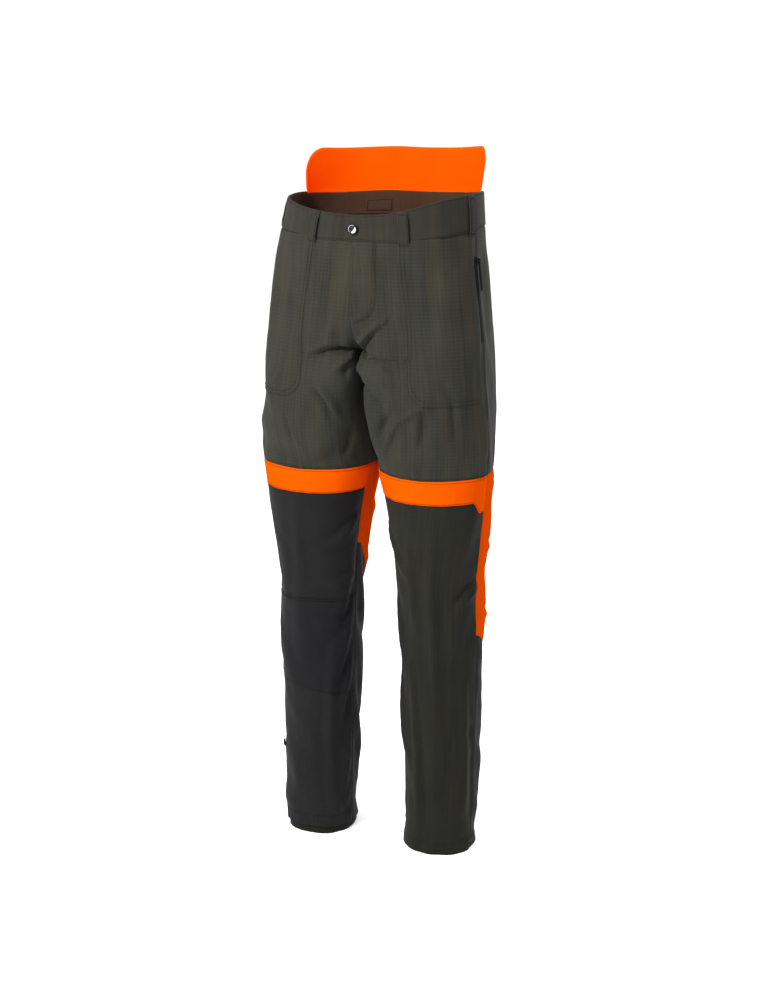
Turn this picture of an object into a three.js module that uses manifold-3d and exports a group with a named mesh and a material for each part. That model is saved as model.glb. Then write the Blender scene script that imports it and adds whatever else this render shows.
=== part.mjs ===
// Chainsaw-protective trousers, modelled as the sewn and riveted pieces they are made of.
// Millimetres, +Z up, the front faces -Y and the wearer's left leg is on +X.
// The origin is the centre of the waist, level with the top edge of the waistband at the sides.
import * as THREE from 'three';
import { mergeVertices } from 'three/addons/utils/BufferGeometryUtils.js';
import Module from 'manifold-3d';

const manifoldLibrary = await Module();
manifoldLibrary.setup();

// ---------------------------------------------------------------- driving dimensions
// Heights are measured up from the hem.
const WAIST_TOP = 1088;
const FRONT_TOP_DIP = 29;
const BACK_TOP_DIP = 17;
const WAIST_SEAM = 1031;
const FRONT_SEAM_DIP = 14;
const CROTCH = 838;
const CROTCH_CURVE = 60;
const BAND_TOP = 646;
const BAND_BOTTOM = 606;
const BAND_FLARE = 20;
const KNEE_SEAM = 419;
const HEM_STUD_HEIGHT = 146;
const UNDER_HEM_DROP = 12;
const POCKET_BOTTOM = 765;

// The cloth folds at the hip between these heights, least at the sides.
const HIP_FOLD_TOP = 898;
const HIP_FOLD_BOTTOM = 768;
const HIP_FOLD_TOP_RISE = -48;
const HIP_FOLD_BOTTOM_RISE = 58;

const CLOTH = 1.4;
const BAND_CLOTH = 2.4;
const LINING_CLOTH = 1.0;
const PAD = 5;
const SEAM_GAP_U = 0.0015;
const SEAM_GAP = 0.4;
const CENTRE_GAP = 0.6;

// Leg sections: height, centre x, centre y, half width, depth forward, depth backward.
const LEG_SECTIONS = [
  [0, 107, -18, 57, 61, 63],
  [148, 108, -18, 60, 64, 66],
  [358, 108, -20, 66, 70, 74],
  [473, 105, -22, 68, 73, 79],
  [538, 105, -22, 75, 80, 86],
  [588, 104, -23, 82, 86, 95],
  [648, 100, -25, 92, 94, 106],
  [708, 98, -27, 96, 98, 114],
  [768, 96, -28, 94, 101, 119],
  [838, 94, -28, 92, 103, 122],
];
// Hip sections: height, half width, centre y, depth forward, depth backward.
const HIP_SECTIONS = [
  [838, 186, -28, 112, 138],
  [878, 182, -27, 112, 139],
  [928, 175, -24, 114, 137],
  [978, 168, -19, 116, 131],
  [1028, 162, -10, 116, 123],
  [1088, 155, 0, 118, 117],
];
const ROUND_SECTION = 2.2;
const HIP_SECTION = 2.3;
const INNER_FRONT_SECTION = 6;
const INNER_BACK_SECTION = 2.8;
const INNER_ROUNDING_LENGTH = 200;

// Seams sit a little forward of the side and of the inner leg (degrees round the section).
const INSEAM_ANGLE = -171;
const OUTSEAM_ANGLE = -10;
const HIP_SIDE_ANGLE = -8;

// ---------------------------------------------------------------- the body the cloth follows
const radians = THREE.MathUtils.degToRad;
const clamp = THREE.MathUtils.clamp;
const lerp = THREE.MathUtils.lerp;
const smoothstep = THREE.MathUtils.smoothstep;

// Catmull-Rom interpolation between the sections of a table.
function sectionAt(table, height) {
  const last = table.length - 1;
  const z = clamp(height, table[0][0], table[last][0]);
  let i = 0;
  while (i < last - 1 && z > table[i + 1][0]) i += 1;
  const [a, b] = [table[i], table[i + 1]];
  const span = b[0] - a[0];
  const before = table[Math.max(i - 1, 0)];
  const after = table[Math.min(i + 2, last)];
  const t = (z - a[0]) / span;
  return a.slice(1).map((value, k) => {
    const column = k + 1;
    const slopeA = (b[column] - before[column]) / (b[0] - before[0]) * span;
    const slopeB = (after[column] - value) / (after[0] - a[0]) * span;
    const [t2, t3] = [t * t, t * t * t];
    return (2 * t3 - 3 * t2 + 1) * value + (t3 - 2 * t2 + t) * slopeA
      + (3 * t2 - 2 * t3) * b[column] + (t3 - t2) * slopeB;
  });
}

function superellipse(angle, power) {
  const [c, s] = [Math.cos(angle), Math.sin(angle)];
  const radius = (Math.abs(c) ** power + Math.abs(s) ** power) ** (-1 / power);
  return [radius * c, radius * s];
}

function legPoint(u, height) {
  const z = Math.min(height, CROTCH);
  const [cx, cy, halfWidth, forward, backward] = sectionAt(LEG_SECTIONS, z);
  const turn = u <= 0.5
    ? lerp(INSEAM_ANGLE, OUTSEAM_ANGLE, u * 2)
    : lerp(OUTSEAM_ANGLE, INSEAM_ANGLE + 360, u * 2 - 1);
  const angle = radians(turn);
  const squareness = smoothstep(z, CROTCH - INNER_ROUNDING_LENGTH, CROTCH);
  let power = ROUND_SECTION;
  if (Math.cos(angle) < 0) {
    const innerPower = Math.sin(angle) < 0 ? INNER_FRONT_SECTION : INNER_BACK_SECTION;
    power = lerp(ROUND_SECTION, innerPower, squareness);
  }
  const [x, y] = superellipse(angle, power);
  return [cx + halfWidth * x, cy + (y < 0 ? forward : backward) * y];
}

function hipPoint(u, height) {
  const [halfWidth, cy, forward, backward] = sectionAt(HIP_SECTIONS, height);
  const turn = u <= 0.5 ? lerp(-90, HIP_SIDE_ANGLE, u * 2) : lerp(HIP_SIDE_ANGLE, 90, u * 2 - 1);
  const [x, y] = superellipse(radians(turn), HIP_SECTION);
  return [halfWidth * x, cy + (y < 0 ? forward : backward) * y];
}

// The left half of the garment: u runs 0 at the front centre seam (and inseam), 0.5 at the side
// seam, 1 at the back centre seam. Beyond 0 and 1 it carries on round the other half.
function bodyPoint(u, z) {
  if (u < 0 || u > 1) {
    const point = bodyPoint(u < 0 ? -u : 2 - u, z);
    return new THREE.Vector3(-point.x, point.y, point.z);
  }
  const [legX, legY] = legPoint(u, z);
  if (z <= CROTCH) return new THREE.Vector3(legX + CENTRE_GAP, legY, z);
  const [hipX, hipY] = hipPoint(u, z);
  const t = clamp((CROTCH + CROTCH_CURVE - z) / CROTCH_CURVE, 0, 1);
  const legShare = 1 - Math.sqrt(1 - t * t);
  const x = lerp(hipX, legX + CENTRE_GAP, legShare);
  return new THREE.Vector3(x, lerp(hipY, legY, legShare), z);
}

function bodyNormal(u, z) {
  const [du, dz] = [0.002, 0.4];
  const [u0, u1] = [u - du, u + du].map((value) => (z > CROTCH ? value : clamp(value, 0, 1)));
  const across = bodyPoint(u1, z).sub(bodyPoint(u0, z));
  const up = bodyPoint(u, z + dz).sub(bodyPoint(u, z - dz));
  return across.cross(up).normalize();
}

// The u of the point of the front half whose distance from the centre plane is x.
function uAtX(x, z) {
  let [low, high] = [0, 0.5];
  for (let step = 0; step < 30; step += 1) {
    const middle = (low + high) / 2;
    if (bodyPoint(middle, z).x < x) low = middle;
    else high = middle;
  }
  return low;
}

function mmPerU(u, z) {
  const step = 0.01;
  return bodyPoint(u + step, z).distanceTo(bodyPoint(u - step, z)) / (2 * step);
}

function waistTop(u) {
  const across = bodyPoint(u, WAIST_TOP).y / 118;
  return WAIST_TOP - (across < 0 ? FRONT_TOP_DIP * across ** 4 : BACK_TOP_DIP * across ** 2);
}

function waistSeam(u) {
  const across = Math.min(bodyPoint(u, WAIST_SEAM).y / 118, 0);
  return WAIST_SEAM - FRONT_SEAM_DIP * Math.min(across * across, 1);
}

const sideShare = (u) => Math.max(0, Math.cos(Math.PI * (u - 0.5) / 0.5)) ** 2;
const hipFoldTop = (u) => HIP_FOLD_TOP + HIP_FOLD_TOP_RISE * sideShare(u);
const hipFoldBottom = (u) => HIP_FOLD_BOTTOM + HIP_FOLD_BOTTOM_RISE * sideShare(u);
const bandBottom = (u) => BAND_BOTTOM - BAND_FLARE * smoothstep(u, 0.435, 0.471);

// The lower edge of the orange panel behind the knee: lowest at the back of the calf.
const CALF_EDGE = { outer: 374, lowest: 285, lowestU: 0.7, inner: 508 };
function calfEdge(u) {
  const { outer, lowest, lowestU, inner } = CALF_EDGE;
  if (u < lowestU) return lerp(outer, lowest, smoothstep(u, 0.5, lowestU));
  return lerp(lowest, inner, smoothstep(u, lowestU, 1));
}
const kneePatchBottom = (u) => lerp(248, 273, smoothstep(u, 0, 0.5));

// ---------------------------------------------------------------- making pieces
const COLOURS = {
  green: 0x46463a, black: 0x2a2929, textured: 0x262626, orange: 0xfd5c04, lining: 0x3e281b,
  padding: 0xd8d2c0, zip: 0x1c1c1c, metal: 0x8b8b88,
};

function makeMesh(name, geometry, colour, { metalness = 0, roughness = 0.9 } = {}) {
  const material = new THREE.MeshStandardMaterial({ color: colour, roughness, metalness });
  const mesh = new THREE.Mesh(geometry, material);
  mesh.name = name;
  return mesh;
}

// A closed solid from two facing grids of points, the second one inside the first.
function solidFromGrids(outside, inside, columns, rows) {
  const stride = rows + 1;
  const layer = (columns + 1) * stride;
  const positions = [...outside, ...inside].flatMap((point) => point.toArray());
  const index = [];
  const quad = (a, b, c, d) => index.push(a, b, c, a, c, d);
  for (let i = 0; i < columns; i += 1) {
    for (let j = 0; j < rows; j += 1) {
      const a = i * stride + j;
      const b = a + stride;
      quad(a, b, b + 1, a + 1);
      quad(layer + a, layer + a + 1, layer + b + 1, layer + b);
    }
    const bottom = i * stride;
    const top = bottom + rows;
    quad(bottom, layer + bottom, layer + bottom + stride, bottom + stride);
    quad(top, top + stride, layer + top + stride, layer + top);
  }
  const lastColumn = columns * stride;
  for (let j = 0; j < rows; j += 1) {
    quad(j, j + 1, layer + j + 1, layer + j);
    const end = lastColumn + j;
    quad(end, layer + end, layer + end + 1, end + 1);
  }
  const geometry = new THREE.BufferGeometry();
  geometry.setAttribute('position', new THREE.Float32BufferAttribute(positions, 3));
  geometry.setIndex(index);
  geometry.computeVertexNormals();
  return geometry;
}

// The mirror image in the centre plane, with its faces turned round to point out again.
function mirrored(geometry) {
  const mirror = geometry.clone();
  mirror.scale(-1, 1, 1);
  const index = Array.from(mirror.index.array);
  for (let k = 0; k < index.length; k += 3) {
    [index[k + 1], index[k + 2]] = [index[k + 2], index[k + 1]];
  }
  mirror.setIndex(index);
  mirror.computeVertexNormals();
  return mirror;
}

// Cloth that follows the body. map(s, t) gives [u, z]; lift is the mid-surface's distance
// outside the body, a number or a function of (s, t).
function cloth({ map, columns, rows, thickness = CLOTH, lift = 0, rowShares = null }) {
  const [outside, inside] = [[], []];
  for (let i = 0; i <= columns; i += 1) {
    for (let j = 0; j <= rows; j += 1) {
      const [s, t] = [i / columns, rowShares ? rowShares[j] : j / rows];
      const [u, z] = map(s, t);
      const point = bodyPoint(u, z);
      const normal = bodyNormal(u, z);
      const distance = typeof lift === 'function' ? lift(s, t) : lift;
      outside.push(point.clone().addScaledVector(normal, distance + thickness / 2));
      inside.push(point.clone().addScaledVector(normal, distance - thickness / 2));
    }
  }
  return solidFromGrids(outside, inside, columns, rows);
}

// A map between two seams u0 and u1 and two edges given as heights or as functions of u.
function between(u0, u1, low, high) {
  const edge = (value, u) => (typeof value === 'function' ? value(u) : value);
  return (s, t) => {
    const u = lerp(u0 + SEAM_GAP_U, u1 - SEAM_GAP_U, s);
    return [u, lerp(edge(low, u) + SEAM_GAP, edge(high, u) - SEAM_GAP, t)];
  };
}

function toManifold(geometry) {
  const bare = geometry.clone();
  bare.deleteAttribute('normal');
  bare.deleteAttribute('uv');
  const merged = mergeVertices(bare, 1e-4);
  return new manifoldLibrary.Manifold(new manifoldLibrary.Mesh({
    numProp: 3,
    vertProperties: new Float32Array(merged.attributes.position.array),
    triVerts: new Uint32Array(merged.index.array),
  }));
}

function fromManifold(solid) {
  const { vertProperties, triVerts } = solid.getMesh();
  const geometry = new THREE.BufferGeometry();
  geometry.setAttribute('position', new THREE.Float32BufferAttribute(vertProperties, 3));
  geometry.setIndex(Array.from(triVerts));
  geometry.computeVertexNormals();
  return geometry;
}

const cut = (geometry, tool) => fromManifold(toManifold(geometry).subtract(toManifold(tool)));

const trousers = new THREE.Group();
trousers.position.z = -WAIST_TOP;
const SIDES = [['left', 1], ['right', -1]];

// Makes the same left-hand geometry for both sides, mirrored for the right.
function addPair(name, geometry, colour, sides = SIDES) {
  for (const [side, sign] of sides) {
    const shape = sign > 0 ? geometry : mirrored(geometry);
    trousers.add(makeMesh(`${name}_${side}`, shape, colour));
  }
}

// ---------------------------------------------------------------- seat and waistband
const CROTCH_ROWS = [0, 0.27, 0.54, 0.557, 0.61, 0.7, 0.83, 1];

function addSeatPanels() {
  const front = between(0, 0.5, hipFoldTop, waistSeam);
  const back = between(0.5, 1, hipFoldTop, waistSeam);
  addPair('front_panel', cloth({ map: front, columns: 10, rows: 4 }), COLOURS.green);
  addPair('seat_panel', cloth({ map: back, columns: 10, rows: 4 }), COLOURS.green);
  for (const [name, u0, u1] of [['front_rise', 0, 0.5], ['back_rise', 0.5, 1]]) {
    const map = between(u0, u1, hipFoldBottom, hipFoldTop);
    const shape = cloth({ map, columns: 10, rows: 7, rowShares: CROTCH_ROWS });
    addPair(name, shape, COLOURS.green);
  }
}

const LAP_EDGE = 15;
const UNDERLAP_REACH = 28;
const UNDERLAP_STEP = 8;
const BUTTON_HEIGHT = 1035.5;
const BUTTON = { capRadius: 8.5, capDepth: 3.2, neckRadius: 2.5 };

function cylinderAlongY(radius, length, y) {
  const geometry = new THREE.CylinderGeometry(radius, radius, length, 20);
  geometry.translate(0, y, BUTTON_HEIGHT);
  return geometry;
}

function addWaistband() {
  const lapU = uAtX(LAP_EDGE, WAIST_TOP);
  const underlapU = uAtX(UNDERLAP_REACH, WAIST_TOP);
  const leftMap = between(-lapU, 0.5, waistSeam, waistTop);
  const left = cloth({ map: leftMap, columns: 12, rows: 2, thickness: BAND_CLOTH });
  const buttonFace = bodyPoint(0, BUTTON_HEIGHT).y;
  const buttonhole = new THREE.BoxGeometry(18, 12, 2 * BUTTON.neckRadius + 0.8);
  buttonhole.translate(-3, buttonFace, BUTTON_HEIGHT);
  const leftShape = cut(left, buttonhole);
  trousers.add(makeMesh('waistband_front_left', leftShape, COLOURS.green));

  // The right half steps in behind the left one before it reaches the centre.
  const stepShare = (s) => {
    const x = bodyPoint(lerp(-underlapU, 0.5, s), WAIST_TOP).x;
    return 1 - smoothstep(x, LAP_EDGE + 1, LAP_EDGE + 1 + UNDERLAP_STEP);
  };
  const columns = 16;
  const rightMap = (s, t) => {
    const packed = s < 0.5 ? s * 0.5 : lerp(0.25, 1, s * 2 - 1);
    return between(-underlapU, 0.5, waistSeam, waistTop)(packed, t);
  };
  const rightLift = (s) => -3 * stepShare(s < 0.5 ? s * 0.5 : lerp(0.25, 1, s * 2 - 1));
  const right = cloth({
    map: rightMap, columns, rows: 2, thickness: BAND_CLOTH - 0.4, lift: rightLift,
  });
  const pinHole = cylinderAlongY(BUTTON.neckRadius + 0.4, 14, buttonFace);
  const rightShape = cut(mirrored(right), pinHole);
  trousers.add(makeMesh('waistband_front_right', rightShape, COLOURS.green));

  const backMap = between(0.5, 1.5, waistSeam, waistTop);
  const back = cloth({ map: backMap, columns: 24, rows: 2, thickness: BAND_CLOTH });
  trousers.add(makeMesh('waistband_back', back, COLOURS.green));

  const liningLift = -(BAND_CLOTH + LINING_CLOTH) / 2 - 1.2;
  const liningMap = between(0.12, 1.88, (u) => waistSeam(u) + 1, (u) => waistTop(u) - 2);
  const lining = cloth({
    map: liningMap, columns: 36, rows: 2, thickness: LINING_CLOTH, lift: liningLift,
  });
  trousers.add(makeMesh('waistband_lining', lining, COLOURS.lining));

  const LABEL = { x: -56, width: 44, height: 22, drop: 14 };
  const labelU = 2 - (0.5 + 0.5 * (Math.acos(-LABEL.x / 162) * 180 / Math.PI + 8) / 98);
  const halfLabelU = LABEL.width / 2 / mmPerU(labelU, WAIST_TOP);
  const labelMap = (s, t) => {
    const u = lerp(labelU - halfLabelU, labelU + halfLabelU, s);
    const top = waistTop(labelU) - LABEL.drop;
    return [u, lerp(top - LABEL.height, top, t)];
  };
  const label = cloth({
    map: labelMap, columns: 3, rows: 1, thickness: 0.8, lift: liningLift - LINING_CLOTH - 1.2,
  });
  trousers.add(makeMesh('blank_label', label, COLOURS.lining));
}

const LOOP = { width: 16, rest: 4.4, stand: 4.4, foot: 0.18, thickness: 1.8, below: 9, drop: 2 };

function beltLoop(centreU) {
  const rows = 8;
  const map = (s, t) => {
    const low = waistSeam(centreU) - LOOP.below;
    const z = lerp(low, waistTop(centreU) - LOOP.drop, t);
    return [centreU + (s - 0.5) * LOOP.width / mmPerU(centreU, z), z];
  };
  const lift = (s, t) => {
    const rise = smoothstep(t, LOOP.foot - 0.12, LOOP.foot + 0.08);
    const fall = 1 - smoothstep(t, 0.92 - LOOP.foot, 1.12 - LOOP.foot);
    return LOOP.rest + LOOP.stand * Math.min(rise, fall);
  };
  return cloth({ map, columns: 2, rows, thickness: LOOP.thickness, lift });
}

function addBeltLoops() {
  const frontU = uAtX(75, WAIST_TOP);
  const loops = [['front', frontU], ['side', 0.47], ['back', 0.8]];
  for (const [place, u] of loops) addPair(`belt_loop_${place}`, beltLoop(u), COLOURS.green);
  trousers.add(makeMesh('belt_loop_centre_back', beltLoop(1), COLOURS.green));
}

function addButton() {
  const face = bodyPoint(0, BUTTON_HEIGHT).y - BAND_CLOTH / 2 - 2;
  const backFace = bodyPoint(0, BUTTON_HEIGHT).y + 5.2;
  const rim = BUTTON.capRadius;
  const profile = [
    [0, 1.3], [3.2, 1.1], [5, 0.5], [6.2, 0.2], [7.6, 0.2], [rim, 1.0], [rim, 2.2],
    [rim - 0.9, BUTTON.capDepth], [BUTTON.neckRadius, BUTTON.capDepth],
    [BUTTON.neckRadius, backFace - face + BUTTON.capDepth + 1.8],
    [0, backFace - face + BUTTON.capDepth + 1.8],
  ].map(([radius, depth]) => new THREE.Vector2(radius, depth));
  const button = new THREE.LatheGeometry(profile, 24);
  button.translate(0, face - BUTTON.capDepth, BUTTON_HEIGHT);
  const tackProfile = [[2.9, 0], [5, 0], [5, 1.3], [2.9, 1.3], [2.9, 0]];
  const tack = new THREE.LatheGeometry(
    tackProfile.map(([radius, depth]) => new THREE.Vector2(radius, depth)), 20,
  );
  tack.translate(0, backFace, BUTTON_HEIGHT);
  const metal = { metalness: 1, roughness: 0.35 };
  trousers.add(makeMesh('waist_button', button, COLOURS.metal, metal));
  trousers.add(makeMesh('button_tack', tack, COLOURS.metal, metal));
}

// ---------------------------------------------------------------- fly
const FLY = { top: 1004, bottom: 900, depth: 8, tapeWidth: 12, teeth: 2.4, split: 0.8 };

function addFly() {
  const facingMap = (s, t) => {
    const z = lerp(FLY.bottom + 1, FLY.top, t);
    return [uAtX(lerp(2, 40, s), z), z];
  };
  const facing = cloth({ map: facingMap, columns: 4, rows: 4, thickness: 1, lift: -2.4 });
  trousers.add(makeMesh('fly_facing', facing, COLOURS.green));

  const fly = new THREE.Group();
  const top = bodyPoint(0, FLY.top).y;
  const bottom = bodyPoint(0, FLY.bottom).y;
  fly.position.set(0, top + FLY.depth, FLY.top);
  fly.rotation.x = -Math.atan2(top - bottom, FLY.top - FLY.bottom);
  const length = FLY.top - FLY.bottom;

  const half = FLY.teeth / 2;
  const outline = new THREE.Shape([
    [FLY.split, -half], [FLY.split + FLY.teeth, -half], [FLY.split + FLY.teeth, -0.4],
    [FLY.split + FLY.tapeWidth, -0.4], [FLY.split + FLY.tapeWidth, 0.4],
    [FLY.split + FLY.teeth, 0.4], [FLY.split + FLY.teeth, half], [FLY.split, half],
  ].map(([x, y]) => new THREE.Vector2(x, y)));
  const tape = new THREE.ExtrudeGeometry(outline, { depth: length, bevelEnabled: false });
  tape.translate(0, 0, -length);
  const rightTape = tape.clone().rotateZ(Math.PI);
  fly.add(makeMesh('fly_zip_left', tape, COLOURS.zip));
  fly.add(makeMesh('fly_zip_right', rightTape, COLOURS.zip));

  const plate = { halfWidth: 4.6, inner: half + 0.4, outer: half + 1.5, neck: FLY.split - 0.4 };
  const side = [
    [plate.neck, plate.inner], [plate.halfWidth, plate.inner], [plate.halfWidth, plate.outer],
    [-plate.halfWidth, plate.outer], [-plate.halfWidth, plate.inner], [-plate.neck, plate.inner],
  ];
  const sliderOutline = [...side, ...side.map(([x, y]) => [-x, -y])];
  const sliderShape = new THREE.Shape(sliderOutline.map(([x, y]) => new THREE.Vector2(x, y)));
  const slider = new THREE.ExtrudeGeometry(sliderShape, { depth: 11, bevelEnabled: false });
  slider.translate(0, 0, -13);
  fly.add(makeMesh('fly_slider', slider, COLOURS.metal, { metalness: 1, roughness: 0.4 }));

  const pull = pullTab(6, 24, 1);
  pull.translate(0, -(plate.outer + 0.9), -6);
  fly.add(makeMesh('fly_pull', pull, COLOURS.metal, { metalness: 1, roughness: 0.4 }));

  const shield = new THREE.BoxGeometry(64, 1.2, length);
  shield.translate(-6, plate.outer + 1.6, -length / 2);
  fly.add(makeMesh('fly_shield', shield, COLOURS.green));
  trousers.add(fly);
}

// A flat tab that hangs down from its top edge, thin in Y, with a slot near its lower end.
function pullTab(width, length, thickness) {
  const [half, corner] = [width / 2, width * 0.3];
  const shape = new THREE.Shape();
  shape.moveTo(-half + corner, 0);
  shape.lineTo(half - corner, 0);
  shape.quadraticCurveTo(half, 0, half, -corner);
  shape.lineTo(half, -length + corner);
  shape.quadraticCurveTo(half, -length, half - corner, -length);
  shape.lineTo(-half + corner, -length);
  shape.quadraticCurveTo(-half, -length, -half, -length + corner);
  shape.lineTo(-half, -corner);
  shape.quadraticCurveTo(-half, 0, -half + corner, 0);
  const settings = { depth: thickness, bevelEnabled: false, curveSegments: 3 };
  const tab = new THREE.ExtrudeGeometry(shape, settings);
  tab.translate(0, 0, -thickness / 2);
  tab.rotateX(Math.PI / 2);
  return tab;
}

// ---------------------------------------------------------------- pockets
const POCKET = { topX: 71, bottomX: 89, corner: 36, sideGap: 9, liftAbove: 2.4, liftBelow: 5 };

function addFrontPockets() {
  const edgeX = (z) => {
    const x = lerp(POCKET.bottomX, POCKET.topX, smoothstep(z, 860, WAIST_SEAM));
    const rise = clamp(z - POCKET_BOTTOM, 0, POCKET.corner);
    const reach = POCKET.corner - rise;
    return x + POCKET.corner - Math.sqrt(POCKET.corner ** 2 - reach ** 2);
  };
  const map = (s, t) => {
    const z = lerp(POCKET_BOTTOM, WAIST_SEAM - FRONT_SEAM_DIP - 2, t);
    const sideU = 0.5 - POCKET.sideGap / mmPerU(0.49, z);
    return [lerp(uAtX(edgeX(z), z), sideU, s), z];
  };
  const rowShares = [0, 0.02, 0.06, 0.11, 0.18, 0.28, 0.4, 0.55, 0.7, 0.85, 1];
  const lift = (s, t) => lerp(POCKET.liftBelow, POCKET.liftAbove, smoothstep(t, 0.5, 0.85));
  const shape = cloth({ map, columns: 8, rows: 10, lift, thickness: 1.2, rowShares });
  addPair('front_pocket', shape, COLOURS.green);
}

const SIDE_ZIP = { top: 992, bottom: 858, width: 13 };
const SLIDER = { lift: 6.1, depth: 2.6, width: 8, length: 11 };

function addSideZips() {
  const map = (s, t) => {
    const z = lerp(SIDE_ZIP.bottom, SIDE_ZIP.top, t);
    return [0.5 + (s - 0.5) * SIDE_ZIP.width / mmPerU(0.5, z), z];
  };
  const strip = cloth({ map, columns: 2, rows: 6, lift: 2, thickness: 1.2 });
  addPair('side_zip', strip, COLOURS.zip);

  // In a slider's own frame +X points out of the cloth and +Z up along the zip.
  const outward = bodyNormal(0.5, (SIDE_ZIP.top + SIDE_ZIP.bottom) / 2);
  const top = bodyPoint(0.5, SIDE_ZIP.top).addScaledVector(outward, SLIDER.lift);
  const bottom = bodyPoint(0.5, SIDE_ZIP.bottom).addScaledVector(outward, SLIDER.lift);
  for (const [side, sign] of SIDES) {
    const flip = new THREE.Vector3(sign, 1, 1);
    const up = top.clone().sub(bottom).multiply(flip).normalize();
    const out = outward.clone().multiply(flip);
    out.addScaledVector(up, -out.dot(up)).normalize();
    const holder = new THREE.Group();
    const frame = new THREE.Matrix4().makeBasis(out, up.clone().cross(out), up);
    holder.quaternion.setFromRotationMatrix(frame);
    holder.position.copy(top).multiply(flip).addScaledVector(up, -SLIDER.length * 0.7);
    const slider = new THREE.BoxGeometry(SLIDER.depth, SLIDER.width, SLIDER.length);
    holder.add(makeMesh(`side_slider_${side}`, slider, COLOURS.metal, { metalness: 1 }));
    const pull = pullTab(6.5, 50, 1.6);
    pull.rotateZ(Math.PI / 2);
    pull.translate(SLIDER.depth, 0, 3);
    holder.add(makeMesh(`side_pull_${side}`, pull, COLOURS.black));
    trousers.add(holder);
  }
}

function addBackPocket() {
  const place = (low, high, u0, u1) => (s, t) => [lerp(u0, u1, s), lerp(low, high, t)];
  const pocket = cloth({ map: place(904, 985, 0.7, 0.86), columns: 6, rows: 2, lift: 3 });
  const flapMap = place(948, 1003, 0.695, 0.865);
  const flap = cloth({ map: flapMap, columns: 6, rows: 2, lift: 5.4 });
  addPair('back_pocket', pocket, COLOURS.green, [['right', -1]]);
  addPair('back_pocket_flap', flap, COLOURS.green, [['right', -1]]);
}

// ---------------------------------------------------------------- kidney flap
const FLAP = { height: 71, corner: 30, leftU: 0.685, rightU: 1.372, gap: 1.6, thickness: 2.6 };

function addKidneyFlap() {
  const endDistance = (u) => Math.min(u - FLAP.leftU, FLAP.rightU - u) * mmPerU(1, WAIST_TOP);
  const top = (u) => {
    const reach = FLAP.corner - Math.min(endDistance(u), FLAP.corner);
    return FLAP.height - FLAP.corner + Math.sqrt(FLAP.corner ** 2 - reach ** 2);
  };
  const [outside, inside] = [[], []];
  const [columns, rows] = [28, 3];
  for (let i = 0; i <= columns; i += 1) {
    const share = 0.5 - 0.5 * Math.cos(Math.PI * i / columns);
    const u = lerp(FLAP.leftU, FLAP.rightU, lerp(i / columns, share, 0.6));
    for (let j = 0; j <= rows; j += 1) {
      const rise = lerp(FLAP.gap, top(u), j / rows);
      const point = bodyPoint(u, WAIST_TOP);
      point.z = waistTop(u) + rise;
      const out = bodyNormal(u, WAIST_TOP - 1).setZ(0).normalize();
      const flare = rise * 0.06;
      outside.push(point.clone().addScaledVector(out, flare + FLAP.thickness / 2));
      inside.push(point.clone().addScaledVector(out, flare - FLAP.thickness / 2));
    }
  }
  const shape = solidFromGrids(outside, inside, columns, rows);
  trousers.add(makeMesh('kidney_flap', shape, COLOURS.orange));
}

// ---------------------------------------------------------------- legs
function addThighs() {
  const front = between(0, 0.5, BAND_TOP, hipFoldBottom);
  const back = between(0.5, 1, BAND_TOP, hipFoldBottom);
  addPair('thigh_front', cloth({ map: front, columns: 10, rows: 3 }), COLOURS.green);
  addPair('thigh_back', cloth({ map: back, columns: 10, rows: 3 }), COLOURS.green);
  const band = cloth({ map: between(0, 0.5, bandBottom, BAND_TOP), columns: 16, rows: 2 });
  addPair('thigh_band', band, COLOURS.orange);
}

function addKnees() {
  const front = cloth({ map: between(0, 0.5, KNEE_SEAM, bandBottom), columns: 16, rows: 4 });
  trousers.add(makeMesh('knee_front_left', front, COLOURS.green));
  trousers.add(makeMesh('knee_front_right', mirrored(front), COLOURS.black));
  const back = cloth({ map: between(0.5, 1, calfEdge, BAND_TOP), columns: 12, rows: 7 });
  addPair('knee_back', back, COLOURS.orange);
}

function addShins() {
  const full = cloth({ map: between(0, 0.5, 0, KNEE_SEAM), columns: 10, rows: 5 });
  addPair('shin_front', full, COLOURS.green, [['left', 1]]);
  const patchMap = between(0, 0.5, kneePatchBottom, KNEE_SEAM);
  addPair('knee_patch', cloth({ map: patchMap, columns: 10, rows: 3 }), COLOURS.black, [['right', -1]]);
  const lowerMap = between(0, 0.5, UNDER_HEM_DROP, kneePatchBottom);
  const lower = cloth({ map: lowerMap, columns: 10, rows: 3 });
  addPair('shin_front', lower, COLOURS.textured, [['right', -1]]);
  for (const [side, low] of [['left', 0], ['right', UNDER_HEM_DROP]]) {
    const calf = cloth({ map: between(0.5, 1, low, calfEdge), columns: 12, rows: 5 });
    addPair('calf_back', calf, COLOURS.black, SIDES.filter(([name]) => name === side));
  }
  const underHem = cloth({ map: between(0, 1, 0, 40), columns: 20, rows: 1, lift: -3.4, thickness: 1.2 });
  addPair('under_hem', underHem, COLOURS.green, [['right', -1]]);
}

const PADS = { u0: 0.05, u1: 0.45, lift: -5.4, thigh: [614, 758], shin: [60, 408] };

function addCutPads() {
  for (const name of ['thigh', 'shin']) {
    const [low, high] = PADS[name];
    const map = (s, t) => [lerp(PADS.u0, PADS.u1, s), lerp(low, high, t)];
    const pad = cloth({ map, columns: 8, rows: 3, thickness: PAD, lift: PADS.lift });
    addPair(`cut_pad_${name}`, pad, COLOURS.padding);
  }
}

const STUD = { radius: 7, depth: 3.4, u: 0.44 };

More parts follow.
